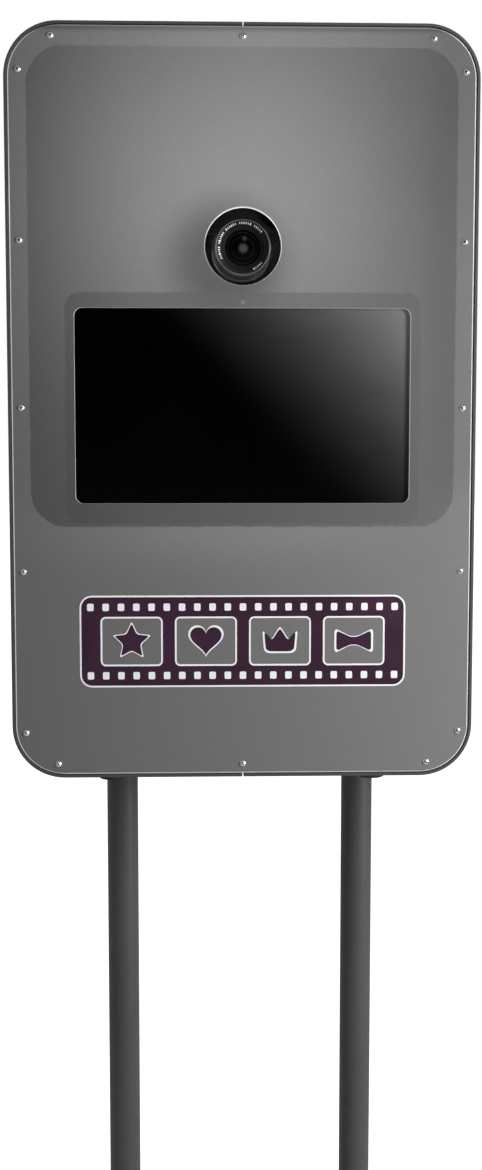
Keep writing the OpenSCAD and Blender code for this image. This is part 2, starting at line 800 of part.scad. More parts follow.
// shelf on the upper monitor rail, with two ears for the tilting cradle
module camera_bracket() {
    rail_z = glass_z + vesa / 2;
    post_y = rail_y + rail_t;
    color([0.6, 0.6, 0.62]) difference() {
        union() {
            block([-40, post_y, rail_z - rail_h / 2], [40, post_y + shelf_t, shelf_z + shelf_t]);
            block([-ear_x - ear_t, post_y, shelf_z], [ear_x + ear_t, pivot_y + 25, shelf_z + shelf_t]);
            for (s = sides) translate([s > 0 ? ear_x : -ear_x - ear_t, pivot_y, lens_z - pivot_drop]) {
                bar_x(ear_r, 0, ear_t);
                block([0, -ear_r, -10], [ear_t, ear_r, 0]);
            }
        }
        translate([0, pivot_y, lens_z - pivot_drop])
            bar_x(pivot_r + tube_fit, -ear_x - 2 * ear_t, ear_x + 2 * ear_t);
        for (x = sides) translate([x * post_screw_x, 0, rail_z])
            bar_y(2, post_y - cut, post_y + shelf_t + cut);
    }
}

module camera_cradle() {
    out_x = ear_x + ear_t + gap;
    color([0.15, 0.15, 0.15]) difference() {
        union() {
            translate([0, 0, lens_z - cam_base - cradle_t])
                block([-out_x - ear_t, pivot_y - 18, 0], [out_x + ear_t, pivot_y + 18, cradle_t]);
            for (s = sides) translate([s > 0 ? out_x : -out_x - ear_t, pivot_y, lens_z - pivot_drop]) {
                bar_x(ear_r, 0, ear_t);
                block([0, -ear_r, 0], [ear_t, ear_r, pivot_drop - cam_base]);
            }
        }
        translate([0, pivot_y, lens_z - pivot_drop])
            bar_x(pivot_r + screw_fit, -out_x - 2 * ear_t, out_x + 2 * ear_t);
        translate([0, pivot_y, lens_z - cam_base - cradle_t - cut])
            cylinder(r = 3.3, h = cradle_t + 2 * cut);
    }
}

// pivot pins in the ears and the screw that holds the camera down
module camera_fasteners() {
    out_x = ear_x + ear_t + gap;
    color([0.7, 0.7, 0.72]) {
        translate([0, pivot_y, lens_z - pivot_drop]) {
            bar_x(pivot_r, -out_x - ear_t, -ear_x + 1);
            bar_x(5, -out_x - ear_t - 3, -out_x - ear_t);
            difference() {
                bar_x(pivot_r, ear_x - 1, out_x + ear_t);
                bar_x(knob_stem_r + tube_fit, ear_x, out_x + ear_t + cut);
            }
        }
        translate([0, pivot_y, lens_z - cam_base - cradle_t]) {
            translate([0, 0, -5]) cylinder(r = 9, h = 5);
            cylinder(r = 3.1, h = cradle_t + 5);
        }
    }
}

module tilt_knob() {
    out_x = ear_x + ear_t + gap + ear_t;
    color([0.08, 0.08, 0.08]) translate([out_x + gap, pivot_y, lens_z - pivot_drop])
        rotate([0, 90, 0]) star_knob(9, 9, knob_stem_r, 6);
}

// outline of the camera from the front, with the prism hump
module camera_outline() {
    translate([(cam_left + cam_right) / 2, (cam_top - cam_base) / 2])
        round_rect(cam_right - cam_left, cam_top + cam_base, 7);
}

module hump_outline()
    polygon([[-26, cam_top - 4], [-26, cam_top + 10], [-24, cam_top + 18], [-22, hump_top - 4],
             [-17, hump_top], [17, hump_top], [22, hump_top - 4], [24, cam_top + 18],
             [26, cam_top + 10], [26, cam_top - 4]]);

// slopes from the hump down to the top of the body, in front of the dial
module shoulder_outline()
    polygon([[-43, cam_top - 4], [-42, cam_top], [-33, cam_top + 2.5], [-26, cam_top + 10],
             [26, cam_top + 10], [33, cam_top + 2.5], [42, cam_top], [43, cam_top - 4]]);

module camera_body() {
    grip_r = 15;
    color([0.05, 0.05, 0.05]) difference() {
        union() {
            plate(cam_y, cam_y + cam_d, lens_z) camera_outline();
            plate(cam_y - 6, cam_y + cam_d - 4, lens_z) hump_outline();
            plate(cam_y - 6, dial_y - dial_r - 2, lens_z) shoulder_outline();
            at_lens() bar_y(33, cam_y - 2, cam_y + 1);
            // hand grip, eyepiece and accessory shoe
            translate([cam_left + grip_r, cam_y - 8, lens_z - cam_base + 2])
                cylinder(r = grip_r, h = cam_top + cam_base - 2);
            plate(cam_y + cam_d - 5, cam_y + cam_d + 10, lens_z + 38) round_rect(34, 22, 6);
            block([-10, cam_y + 22, lens_z + hump_top - 1], [10, cam_y + 40, lens_z + hump_top + 2]);
        }
        at_lens() bar_y(zoom_r + 1.5, cam_y - 8, cam_y - 2);
        plate(cam_y + cam_d + 4, cam_y + cam_d + 11, lens_z + 38) round_rect(22, 12, 3);
        translate([0, pivot_y, lens_z - cam_base - cut]) cylinder(r = 3.2, h = 6 + cut);
        translate([shutter_x, shutter_y, lens_z + cam_top - 4]) cylinder(r = 5.3, h = 4 + cut);
        translate([dial_x, dial_y, lens_z + cam_top - 3]) cylinder(r = 3 + tube_fit, h = 3 + cut);
    }
}

shutter_x = cam_left + 15;
shutter_y = cam_y - 8;
dial_r = 11;
dial_x = cam_left + 24;
dial_y = cam_y + 28;

module camera_screen() {
    color([0.02, 0.02, 0.03]) translate([8, 0, 0])
        plate(cam_y + cam_d, cam_y + cam_d + 3, lens_z - 12) round_rect(76, 52, 3);
}

// fixed part of the lens: a mount ring and a tube that the other rings ride on
module lens_barrel() {
    nose_y = mount_y - mount_ring_t - zoom_len - barrel_nose;
    color([0.05, 0.05, 0.05]) at_lens() difference() {
        union() {
            bar_y(zoom_r, mount_y - mount_ring_t, mount_y);
            bar_y(zoom_r - 2.5, nose_y, mount_y - mount_ring_t);
        }
        bar_y(zoom_r - 4, nose_y - cut, mount_y - 3);
    }
}

module zoom_ring() {
    y1 = mount_y - mount_ring_t - gap;
    color([0.04, 0.04, 0.04]) at_lens() difference() {
        bar_y(zoom_r, y1 - zoom_len, y1);
        bar_y(zoom_r - 2.5 + tube_fit, y1 - zoom_len - cut, y1 + cut);
        for (k = [0:35]) rotate([0, k * 10, 0]) translate([zoom_r + 0.4, 0, 0])
            bar_y(1, y1 - zoom_len + 3, y1 - 3);
    }
}

// front barrel slides out of the fixed barrel when the lens zooms; its cone-shaped mouth holds the
// front glass, and its tail is long enough to bear at full travel
module front_barrel() {
    tail_y = lens_y + front_len + zoom_travel + front_bearing;
    color([0.05, 0.05, 0.05]) at_lens() difference() {
        union() {
            bar_y(barrel_r, lens_y, lens_y + front_len);
            bar_y(zoom_r - 4 - tube_fit, lens_y + front_len, tail_y);
        }
        translate([0, lens_y - 0.01, 0]) rotate([-90, 0, 0]) cylinder(r1 = barrel_r - 2, r2 = 20, h = 6);
        bar_y(20, lens_y + 5, tail_y + cut);
    }
}

module lens_glass() {
    color([0.03, 0.03, 0.06, 0.5]) at_lens() {
        intersection() {
            translate([0, lens_y + 50, 0]) sphere(45);
            bar_y(20 - screw_fit, lens_y, lens_y + 11);
        }
        intersection() {
            translate([0, lens_y + 62, 0]) sphere(35);
            bar_y(20 - screw_fit, lens_y + 20, lens_y + 38);
        }
    }
}

module shutter_button() {
    color([0.3, 0.3, 0.3]) translate([shutter_x, shutter_y, lens_z + cam_top - 2.5])
        cylinder(r = 5, h = 4.5);
}

module mode_dial() {
    color([0.06, 0.06, 0.06]) translate([dial_x, dial_y, lens_z + cam_top]) {
        translate([0, 0, -2.5]) cylinder(r = 3, h = 3.5);
        translate([0, 0, gap]) difference() {
            cylinder(r = dial_r, h = 7);
            for (k = [0:23]) rotate(k * 15) translate([dial_r + 0.3, 0, -cut])
                cylinder(r = 0.7, h = 7 + 2 * cut);
        }
    }
}

// ---- rear frame and door ----

module rear_frame() {
    color([0.27, 0.27, 0.28]) {
        plate(door_y, skin_y) difference() {
            round_rect(inner_w, inner_h, inner_r);
            round_rect(door_w, door_h, door_r);
        }
        plate(door_y - 5, door_y) difference() {
            round_rect(door_w + 6, door_h + 6, door_r + 3);
            round_rect(door_w, door_h, door_r);
        }
        plate(door_y - 5, door_y - 3) difference() {
            round_rect(door_w + 6, door_h + 6, door_r + 3);
            round_rect(door_w - 2 * ledge_w, door_h - 2 * ledge_w, door_r - ledge_w);
        }
    }
}

module door_seal() {
    color([0.05, 0.05, 0.05]) plate(door_y - 3, door_y - gap) difference() {
        round_rect(door_w - 4, door_h - 4, door_r - 2);
        round_rect(door_w - 2 * ledge_w + 6, door_h - 2 * ledge_w + 6, door_r - ledge_w + 3);
    }
}

module for_locks() for (k = sides) translate([lock_x, 0, mid_z + k * lock_rise]) children();

module for_fan_screws() for (x = sides, z = sides)
    translate([x * (fan_w / 2 - 4.5), 0, fan_z + z * (fan_w / 2 - 4.5)]) children();

module rear_door() {
    color([0.27, 0.27, 0.28]) difference() {
        plate(door_y, skin_y)
            round_rect(door_w - 2 * door_gap, door_h - 2 * door_gap, door_r - door_gap);
        for_locks() bar_y(lock_r + 0.1, door_y - cut, skin_y + cut);
        translate([0, 0, fan_z]) bar_y(fan_w / 2 - 3, door_y - cut, skin_y + cut);
        for_fan_screws() bar_y(2, door_y - cut, skin_y + cut);
        for (c = [-1:1], k = [0:vent_rows - 1])
            translate([c * (vent_w + 16), 0, 0])
                plate(door_y - cut, skin_y + cut, vent_z + (k - (vent_rows - 1) / 2) * vent_pitch)
                round_rect(vent_w, vent_h, vent_h / 2 - 0.01);
    }
}

// one leaf of each hinge: s = -1 on the frame with the odd knuckles, 1 on the door with the even ones
module hinge_leaves(s) {
    clear = knuckle_r + 0.8;
    for (k = sides) translate([hinge_x, hinge_y, mid_z + k * hinge_rise - hinge_h / 2]) difference() {
        union() {
            block([s > 0 ? clear : -leaf_w, -knuckle_r, 0], [s > 0 ? leaf_w : -clear,
                -knuckle_r + leaf_t, hinge_h]);
            for (n = [0:knuckles - 1]) if ((n % 2 == 0) == (s < 0))
                translate([0, 0, n * knuckle_h + gap / 2]) {
                    cylinder(r = knuckle_r, h = knuckle_h - gap);
                    block([s > 0 ? 0 : -clear, -knuckle_r, 0], [s > 0 ? clear : 0,
                        -knuckle_r + leaf_t, knuckle_h - gap]);
                }
        }
        translate([0, 0, -cut]) cylinder(r = hinge_pin_r + screw_fit, h = hinge_h + 2 * cut);
        for (z = [0.2, 0.8]) translate([s * leaf_w * 0.62, 0, z * hinge_h])
            bar_y(2, -knuckle_r - cut, -knuckle_r + leaf_t + cut);
    }
}

module frame_hinge_leaves() {
    color([0.62, 0.62, 0.64]) hinge_leaves(-1);
}

module door_hinge_leaves() {
    color([0.62, 0.62, 0.64]) hinge_leaves(1);
}

module hinge_pins() {
    color([0.75, 0.75, 0.76]) for (k = sides)
        translate([hinge_x, hinge_y, mid_z + k * hinge_rise - hinge_h / 2]) {
            cylinder(r = hinge_pin_r, h = hinge_h);
            translate([0, 0, hinge_h]) cylinder(r = knuckle_r, h = 2);
        }
}

// barrel lock bodies: flange outside, threaded barrel and nut inside
module lock_bodies() {
    color([0.75, 0.75, 0.76]) for_locks() difference() {
        union() {
            bar_y(lock_r + 4, skin_y, skin_y + 2.5);
            bar_y(lock_r, door_y - 4.5, skin_y + 1);
            bar_y(lock_r + 3, door_y - 4, door_y);
        }
        bar_y(lock_core_r + screw_fit, door_y - 6, skin_y + 4);
    }
}

// turning core with its cam, which points up when open and sideways behind the ledge when locked
module lock_cam(k) {
    cam_y1 = door_y - 5 - gap;
    color([0.7, 0.7, 0.72]) translate([lock_x, 0, mid_z + k * lock_rise]) {
        difference() {
            bar_y(lock_core_r, cam_y1 - 3, skin_y + 2);
            block([-1, skin_y, -4], [1, skin_y + 3, 4]);
        }
        block([-6, cam_y1 - 3, 0], [6, cam_y1, cam_len]);
    }
}

// ---- fan ----

module fan_frame() {
    color([0.05, 0.05, 0.05]) {
        difference() {
            plate(door_y - fan_d, door_y, fan_z) round_rect(fan_w, fan_w, 4);
            translate([0, 0, fan_z]) bar_y(fan_w / 2 - 2, door_y - fan_d - cut, door_y + cut);
            for_fan_screws() bar_y(2, door_y - fan_d - cut, door_y + cut);
        }
        // motor seat on four struts
        difference() {
            union() {
                translate([0, 0, fan_z]) bar_y(16, door_y - fan_d, door_y - fan_d + 3);
                for (a = [45:90:315]) translate([0, 0, fan_z]) rotate([0, a, 0])
                    block([0, door_y - fan_d, -2], [fan_w / 2, door_y - fan_d + 3, 2]);
            }
            translate([0, 0, fan_z]) bar_y(2.05, door_y - fan_d - cut, door_y - fan_d + 3 + cut);
        }
    }
}

module fan_rotor() {
    y0 = door_y - fan_d + 3 + gap;
    color([0.1, 0.1, 0.1]) translate([0, 0, fan_z]) {
        bar_y(2, door_y - fan_d, y0 + 2);
        bar_y(16, y0, door_y - 4);
        for (k = [0:6]) rotate([0, k * 360 / 7, 0])
            translate([14, (y0 + door_y - 4) / 2, 0]) rotate([38, 0, 0])
                block([0, -1, -11], [fan_w / 2 - 18, 1, 11]);
    }
}

module fan_guard() {
    color([0.75, 0.75, 0.76]) {
        plate(skin_y, skin_y + 1.5, fan_z) {
            for (r = [10:8:34]) difference() {
                circle(r + 0.9);
                circle(r - 0.9);
            }
            for (a = [45:90:315]) rotate(a) translate([0, -1]) square([fan_w / 2 + 6, 2]);
            for (x = sides, z = sides) translate([x * (fan_w / 2 - 4.5), z * (fan_w / 2 - 4.5)])
                circle(4.5);
        }
        for_fan_screws() translate([0, skin_y + 1.5, 0]) rotate([-90, 0, 0])
            dome_screw(3.6, 1.8, 1.9, 1.5 + frame_t + fan_d);
    }
}

// ---- what is drawn ----

base_plate();
base_feet();
base_sockets();
base_fasteners();
stand_tube(-1);  // left_tube
stand_tube(1);  // right_tube
housing_half(-1);  // left_housing
housing_half(1);  // right_housing
top_splice();
floor_plate();
machine_screws();
front_frame();
rear_frame();
frame_brackets();
front_panel();
panel_screws();
decal();
head_sockets();
head_socket_bolts();
head_feet();
clamp_knob(-1);  // left_clamp_knob
clamp_knob(1);  // right_clamp_knob
touch_glass();
lcd_panel();
monitor_housing();
monitor_rails();
light_tray();
led_boards();
led_chips();
pc_case();
pc_button();
power_supply_case();
circuit_boards();
power_inlet();
inlet_pins();
power_switch();
camera_bracket();
camera_cradle();
camera_fasteners();
tilt_knob();
camera_body();
camera_screen();
lens_barrel();
zoom_ring();
front_barrel();
lens_glass();
shutter_button();
mode_dial();
rear_door();
frame_hinge_leaves();
door_hinge_leaves();
hinge_pins();
door_seal();
lock_bodies();
lock_cam(1);  // upper_lock_cam
lock_cam(-1);  // lower_lock_cam
fan_frame();
fan_rotor();
fan_guard();
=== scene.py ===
# %% [markdown]
# # A photo booth on two tubes
# The booth is a shallow metal head with rounded corners. A camera looks out through a round hole in a
# grey acrylic front, a touch screen sits below it, and two tubes carry the head over a base plate.
# All solid parts come ready made from the CAD model. This lesson gives every one of them its finish, and
# adds what a solid model leaves out: cut films, turned rings, printed marks, grain, wear and light.

# %% Load the booth
import math

import bmesh
import bpy
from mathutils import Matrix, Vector


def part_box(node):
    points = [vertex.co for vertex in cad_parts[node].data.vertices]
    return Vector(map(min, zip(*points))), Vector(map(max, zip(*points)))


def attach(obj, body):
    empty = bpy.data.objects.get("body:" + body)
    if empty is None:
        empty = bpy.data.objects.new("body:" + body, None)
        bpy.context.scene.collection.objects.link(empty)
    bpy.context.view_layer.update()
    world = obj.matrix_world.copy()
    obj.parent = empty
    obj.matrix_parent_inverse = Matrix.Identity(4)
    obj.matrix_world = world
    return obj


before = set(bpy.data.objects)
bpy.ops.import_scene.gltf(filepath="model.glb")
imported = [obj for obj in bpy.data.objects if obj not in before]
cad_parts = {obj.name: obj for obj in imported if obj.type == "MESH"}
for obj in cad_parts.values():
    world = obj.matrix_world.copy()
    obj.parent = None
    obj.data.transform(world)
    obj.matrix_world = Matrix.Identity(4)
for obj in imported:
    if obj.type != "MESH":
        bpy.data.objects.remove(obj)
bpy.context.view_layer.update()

MM = 0.001

# %% [markdown]
# ## Where things are
# Blender works in metres here. Instead of typing the same places again, each measure is read from the box
# of a piece: the front panel's box gives the middle of the front, and the camera hole lies on the axis of
# the lens. A piece made later then stays right if the booth's size changes.

# %% Read the main measures
panel_low, panel_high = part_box("front_panel")
glass_low, glass_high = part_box("touch_glass")
lens_low, lens_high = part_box("front_barrel")
decal_low, decal_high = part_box("decal")

front_y = panel_low.y
body_back_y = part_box("camera_body")[1].y
panel_mid = Vector((0, front_y, (panel_low.z + panel_high.z) / 2))
lens_x = (lens_low.x + lens_high.x) / 2
lens_z = (lens_low.z + lens_high.z) / 2
print("front middle at", round(panel_mid.z, 3), "lens at", round(lens_z, 3))

# %% [markdown]
# ## The camera
# The booth is seen from just left of its middle and a little below it, from under two metres away, looking
# slightly right and down. The camera could be aimed with a Track To constraint. A rotation built from a
# heading and a tilt says the same thing in two numbers and has no hidden parts.

# %% Camera
view_heading = math.radians(1.841)
view_tilt = math.radians(-5.413)
view_from = panel_mid + Vector((-57.2 * MM, -1708.6 * MM, -39.3 * MM))
sensor_width_mm = 36
focal_length_mm = 46.15

booth_camera = bpy.data.objects.new("booth_camera", bpy.data.cameras.new("booth_camera"))
booth_camera.data.sensor_width = sensor_width_mm
booth_camera.data.lens = focal_length_mm
booth_camera.data.clip_start = 0.05
booth_camera.data.clip_end = 80
booth_camera.location = view_from
booth_camera.rotation_euler = (math.pi / 2 + view_tilt, 0, -view_heading)
bpy.context.scene.collection.objects.link(booth_camera)
bpy.context.scene.camera = booth_camera
print("camera stands", round(front_y - view_from.y, 2), "m in front")

# %% [markdown]
# ## Building a finish from nodes
# Every finish is a Principled shader with a few nodes in front of it. The same short steps come back each
# time: a noise in the object's own coordinates, a ramp that turns it into tones or roughness, and a bump.
# Small helper functions keep each finish readable. Values that are equal all over are set straight on the
# shader.

# %% Nodes, links and values
def set_inputs(node, **values):
    """Set sockets by name, with an underscore for each space."""
    for name, value in values.items():
        node.inputs[name.replace("_", " ")].default_value = value


def new_finish(name, colour, roughness, metallic=0.0, **settings):
    finish = bpy.data.materials.new(name)
    finish.use_nodes = True
    shader = finish.node_tree.nodes["Principled BSDF"]
    set_inputs(shader, Base_Color=(*colour, 1), Roughness=roughness, Metallic=metallic, **settings)
    return finish, shader


def add_node(finish, kind, **settings):
    node = finish.node_tree.nodes.new(kind)
    for key, value in settings.items():
        setattr(node, key, value)
    return node


def join(finish, source, target):
    finish.node_tree.links.new(source, target)


def object_place(finish, stretch=(1, 1, 1)):
    place = add_node(finish, "ShaderNodeTexCoord")
    mapping = add_node(finish, "ShaderNodeMapping")
    set_inputs(mapping, Scale=stretch)
    join(finish, place.outputs["Object"], mapping.inputs["Vector"])
    return mapping.outputs["Vector"]


print("node helpers ready")

# %% Noise, tones and relief
def noise(finish, scale, detail=3.0, stretch=(1, 1, 1)):
    field = add_node(finish, "ShaderNodeTexNoise")
    set_inputs(field, Scale=scale, Detail=detail)
    join(finish, object_place(finish, stretch), field.inputs["Vector"])
    return field.outputs["Fac"]


def ramp(finish, value, low, high, start=0.35, end=0.65):
    """Colours from low to high as the value goes from start to end."""
    tones = add_node(finish, "ShaderNodeValToRGB")
    for stop, place, colour in zip(tones.color_ramp.elements, (start, end), (low, high)):
        stop.position = place
        stop.color = (*colour, 1)
    join(finish, value, tones.inputs["Fac"])
    return tones.outputs["Color"]


def spread(finish, value, low, high, start=0.3, end=0.7, smooth=False):
    """A number from low to high as the value goes from start to end."""
    scale = add_node(finish, "ShaderNodeMapRange", interpolation_type="SMOOTHSTEP" if smooth else "LINEAR")
    set_inputs(scale, From_Min=start, From_Max=end, To_Min=low, To_Max=high)
    join(finish, value, scale.inputs["Value"])
    return scale.outputs["Result"]


def mix_colours(finish, amount, low, high, kind="MIX"):
    mixer = add_node(finish, "ShaderNodeMix", data_type="RGBA", blend_type=kind)
    colours = {socket.name: socket for socket in mixer.inputs if socket.type == "RGBA"}
    factor = next(socket for socket in mixer.inputs if socket.name == "Factor")
    for socket, value in ((factor, amount), (colours["A"], low), (colours["B"], high)):
        if isinstance(value, (int, float)):
            socket.default_value = value
        elif isinstance(value, tuple):
            socket.default_value = (*value, 1)
        else:
            join(finish, value, socket)
    return next(socket for socket in mixer.outputs if socket.type == "RGBA")


def bump(finish, shader, height, strength, distance):
    relief = add_node(finish, "ShaderNodeBump")
    set_inputs(relief, Strength=strength, Distance=distance)
    join(finish, height, relief.inputs["Height"])
    join(finish, relief.outputs["Normal"], shader.inputs["Normal"])


print("noise, tones and relief ready")

# %% Sums and products
def math_step(finish, kind, first, second=None, clamp=False):
    step = add_node(finish, "ShaderNodeMath", operation=kind, use_clamp=clamp)
    for socket, value in zip(step.inputs, (first, second)):
        if value is None:
            continue
        if isinstance(value, (int, float)):
            socket.default_value = value
        else:
            join(finish, value, socket)
    return step.outputs[0]


def plus(finish, first, second):
    return math_step(finish, "ADD", first, second)


def minus(finish, first, second):
    return math_step(finish, "SUBTRACT", first, second)


def times(finish, first, second):
    return math_step(finish, "MULTIPLY", first, second)


def dimmed(finish, value, share):
    """The value with a share of it, from 0 to 1, taken away."""
    return times(finish, value, minus(finish, 1.0, share))


print("sums and products ready")

# %% [markdown]
# ## Dressing a part and wearing its edges
# A finish is put on a part by its name. The CAD edges are perfectly sharp, and no real edge is. A bevel
# modifier rounds them by a fraction of a millimetre, so they catch a thin line of light. The solid's flat
# faces come cut into triangles, so they are welded and made whole first, or the bevel would make spikes.

# %% Dress and soften
weld_reach = 0.01 * MM
flat_within = math.radians(0.4)
sharp_from = math.radians(60)


def dress(finish, *names):
    for name in names:
        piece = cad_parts[name]
        piece.data.materials.clear()
        piece.data.materials.append(finish)


def soften_edges(width, *names):
    for name in names:
        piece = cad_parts[name]
        piece.modifiers.new("joined_faces", "WELD").merge_threshold = weld_reach
        flats = piece.modifiers.new("whole_flats", "DECIMATE")
        flats.decimate_type = "DISSOLVE"
        flats.angle_limit = flat_within
        bevel = piece.modifiers.new("worn_edge", "BEVEL")
        bevel.width = width
        bevel.segments = 2
        bevel.limit_method = "ANGLE"
        bevel.angle_limit = sharp_from
        piece.modifiers.new("even_shading", "WEIGHTED_NORMAL").keep_sharp = True


print("parts can be dressed and softened")

# %% [markdown]
# ## Powder coat
# The housing, the tubes, the door and the base are steel with a dark grey powder coat. Baked powder never
# lies quite flat: it has a fine orange-peel skin with tiny bright grains. A picture of paint could be
# wrapped round, but it would need unwrapping. Two noises of different size in the object's own space, one
# for the skin and one for the grains, fit every part at the same scale.

# %% Powder coat
def powder_coat(name, dark, light):
    coat, shader = new_finish(name, light, 0.5, Specular_IOR_Level=0.42)
    cloud = noise(coat, 9, 4)
    tone = ramp(coat, cloud, dark, light, 0.3, 0.7)
    grains = ramp(coat, noise(coat, 1500, 2), (0.75, 0.75, 0.75), (1.3, 1.3, 1.3), 0.4, 0.68)
    join(coat, mix_colours(coat, 1.0, tone, grains, "MULTIPLY"), shader.inputs["Base Color"])
    join(coat, spread(coat, noise(coat, 30, 3), 0.42, 0.58), shader.inputs["Roughness"])
    skin = plus(coat, noise(coat, 750, 2), times(coat, noise(coat, 2300, 1), 0.4))
    bump(coat, shader, skin, 0.35, 0.0004)
    return coat


def scuffed_coat(name, dark, light, scuff):
    """Powder coat with short pale scuffs where shoes and boxes have touched it."""
    coat = powder_coat(name, dark, light)
    shader = coat.node_tree.nodes["Principled BSDF"]
    whole = shader.inputs["Base Color"].links[0].from_socket
    patches = spread(coat, noise(coat, 7, 3), 0.0, 1.0, 0.5, 0.62)
    strokes = spread(coat, noise(coat, 60, 4, (1, 5, 1)), 0.0, 0.7, 0.6, 0.7)
    worn = times(coat, patches, strokes)
    join(coat, mix_colours(coat, worn, whole, scuff), shader.inputs["Base Color"])
    return coat


coat_dark = (0.052, 0.052, 0.055)
coat_light = (0.066, 0.066, 0.069)
scuff_grey = (0.13, 0.13, 0.13)
housing_coat = powder_coat("graphite_powder_coat", coat_dark, coat_light)
base_coat = scuffed_coat("scuffed_powder_coat", coat_dark, coat_light, scuff_grey)
dress(housing_coat, "left_housing", "right_housing", "rear_frame", "rear_door", "head_sockets")
dress(housing_coat, "left_tube", "right_tube")
dress(base_coat, "base_sockets", "base_plate")
soften_edges(0.5 * MM, "left_housing", "right_housing")
soften_edges(0.4 * MM, "rear_door", "base_sockets")
soften_edges(1.2 * MM, "base_plate")
print("powder coat on the housing, tubes, door and base")

# %% [markdown]
# ## Satin grey acrylic
# The front is one sheet of smoke-grey acrylic with a satin face. It lets a little light through, so the
# light and shade of what lies behind are painted into its colour: the open window of the frame shows as a
# softer, lighter pool, the screen's housing as a darker field of painted shade, and the camera leaves a dim
# halo of painted shade round its hole. True translucency would need a lit room inside the head. Fields
# measured in the object's own space give the same look, stay sharp at any size and move with the sheet.
# First come the distance fields.

# %% Distance fields
def plane_place(finish):
    """The two coordinates of a point on the front: across and up."""
    place = add_node(finish, "ShaderNodeTexCoord")
    axes = add_node(finish, "ShaderNodeSeparateXYZ")
    join(finish, place.outputs["Object"], axes.inputs[0])
    return axes.outputs["X"], axes.outputs["Z"]


def away_from(finish, value, middle):
    return math_step(finish, "ABSOLUTE", minus(finish, value, middle))


def squared(finish, value):
    return math_step(finish, "POWER", value, 2.0)


def length_of(finish, first, second):
    return math_step(finish, "SQRT", plus(finish, squared(finish, first), squared(finish, second)))


def inside_box(finish, x, z, low, high, radius, blur, wobble):
    """1 inside a rounded box in the X-Z plane, 0 outside, with a soft border that wobbles a little."""
    sides = []
    for value, start, end in ((x, low[0], high[0]), (z, low[1], high[1])):
        reach = (end - start) / 2 - radius
        past = minus(finish, away_from(finish, value, (start + end) / 2), reach)
        sides.append(math_step(finish, "MAXIMUM", past, 0.0))
    past = plus(finish, length_of(finish, *sides), wobble)
    return spread(finish, past, 1.0, 0.0, radius - blur, radius + blur)


def near_point(finish, x, z, middle, inner, outer):
    """1 within the inner radius of a point, fading smoothly to 0 at the outer radius."""
    off = [minus(finish, value, at) for value, at in zip((x, z), middle)]
    return spread(finish, length_of(finish, *off), 1.0, 0.0, inner, outer, smooth=True)


def bell(finish, value, middle, width):
    """1 at the middle, falling off to both sides as a bell curve."""
    off = math_step(finish, "DIVIDE", minus(finish, value, middle), width)
    return math_step(finish, "EXPONENT", times(finish, squared(finish, off), -0.5))


print("distance fields ready")

# %% [markdown]
# The painted shade of the frame's window and of the screen's field, and the painted pool of light, take
# their places from the panel, the glass and the lens; a weaker painted band of light lies just under the
# window's foot. Each of them adds to the grey of the sheet or takes from it. The edge of the window wobbles
# by a hair, as light does that comes through a thick sheet.

# %% Light and dark behind the sheet
# Grey of the sheet, then the strengths and places of its painted shade and painted light.
sheet_grey = 0.165
screen_dim = 0.011
pool_light = 0.195
under_light = 0.045
window_low = (-240.5 * MM, glass_low.z - 1.5 * MM)
window_high = (240.5 * MM, panel_high.z - 22.5 * MM)
screen_low = (glass_low.x + 1.8 * MM, glass_low.z + 2 * MM)
screen_high = (glass_high.x - 1 * MM, glass_high.z)
pool_middle = (-40 * MM, lens_z + 55 * MM)
pool_reach = (265 * MM, 145 * MM)


def tones_behind(sheet, x, z):
    """The grey of the sheet with the painted light and shade of what shows through it, and the field of the
    screen alone.
    """
    wobble = times(sheet, minus(sheet, noise(sheet, 60, 2), 0.5), 3 * MM)
    window = inside_box(sheet, x, z, window_low, window_high, 41 * MM, 0.8 * MM, wobble)
    screen = inside_box(sheet, x, z, screen_low, screen_high, 17 * MM, 0.7 * MM, times(sheet, wobble, 0.5))
    # The frame's window and the screen's housing darken the sheet as painted shade.
    window_depth = spread(sheet, x, 0.067, 0.05, -0.235, -0.12)
    grey = minus(sheet, sheet_grey, times(sheet, window, window_depth))
    grey = minus(sheet, grey, times(sheet, screen, screen_dim))

    # A painted pool of light, weaker over the screen, and a weaker painted band of light under the window's
    # foot.
    off_middle = math_step(sheet, "DIVIDE", away_from(sheet, x, pool_middle[0]), pool_reach[0])
    rest = math_step(sheet, "SUBTRACT", 1.0, squared(sheet, off_middle), clamp=True)
    across = math_step(sheet, "POWER", rest, 1.5)
    pool = times(sheet, across, bell(sheet, z, pool_middle[1], pool_reach[1]))
    pool = dimmed(sheet, pool, times(sheet, screen, 0.45))
    under = times(sheet, across, bell(sheet, z, window_low[1] - 1.5 * MM, 28 * MM))
    under = dimmed(sheet, under, window)
    grey = plus(sheet, grey, times(sheet, pool, pool_light))
    return plus(sheet, grey, times(sheet, under, under_light)), screen


print("window foot at", round(window_low[1], 3), "and top at", round(window_high[1], 3))

# %% [markdown]
# Over these tones lie more painted shade and light: the camera's halo of painted shade, a corner in the
# upper right dimmed by painted shade, the painted glow of a small lamp over the screen, and a painted shadow
# along the top edge. Last comes the painted slope of light from left to right that the lamp at the right
# gives, and a fine grain.

# %% Shades and grain
# Places and strengths of the painted shade, painted glow and painted shadow laid over the sheet.
halo_middle = (lens_x - 18 * MM, lens_z - 15 * MM)
lamp_middle = (0.0, panel_mid.z + 118 * MM)
halo_on_sheet = 0.52
halo_on_screen = 0.28
corner_dim = 0.2
flank_dim = 0.12
lamp_light = 0.09
top_edge_shadow_dim = 0.35


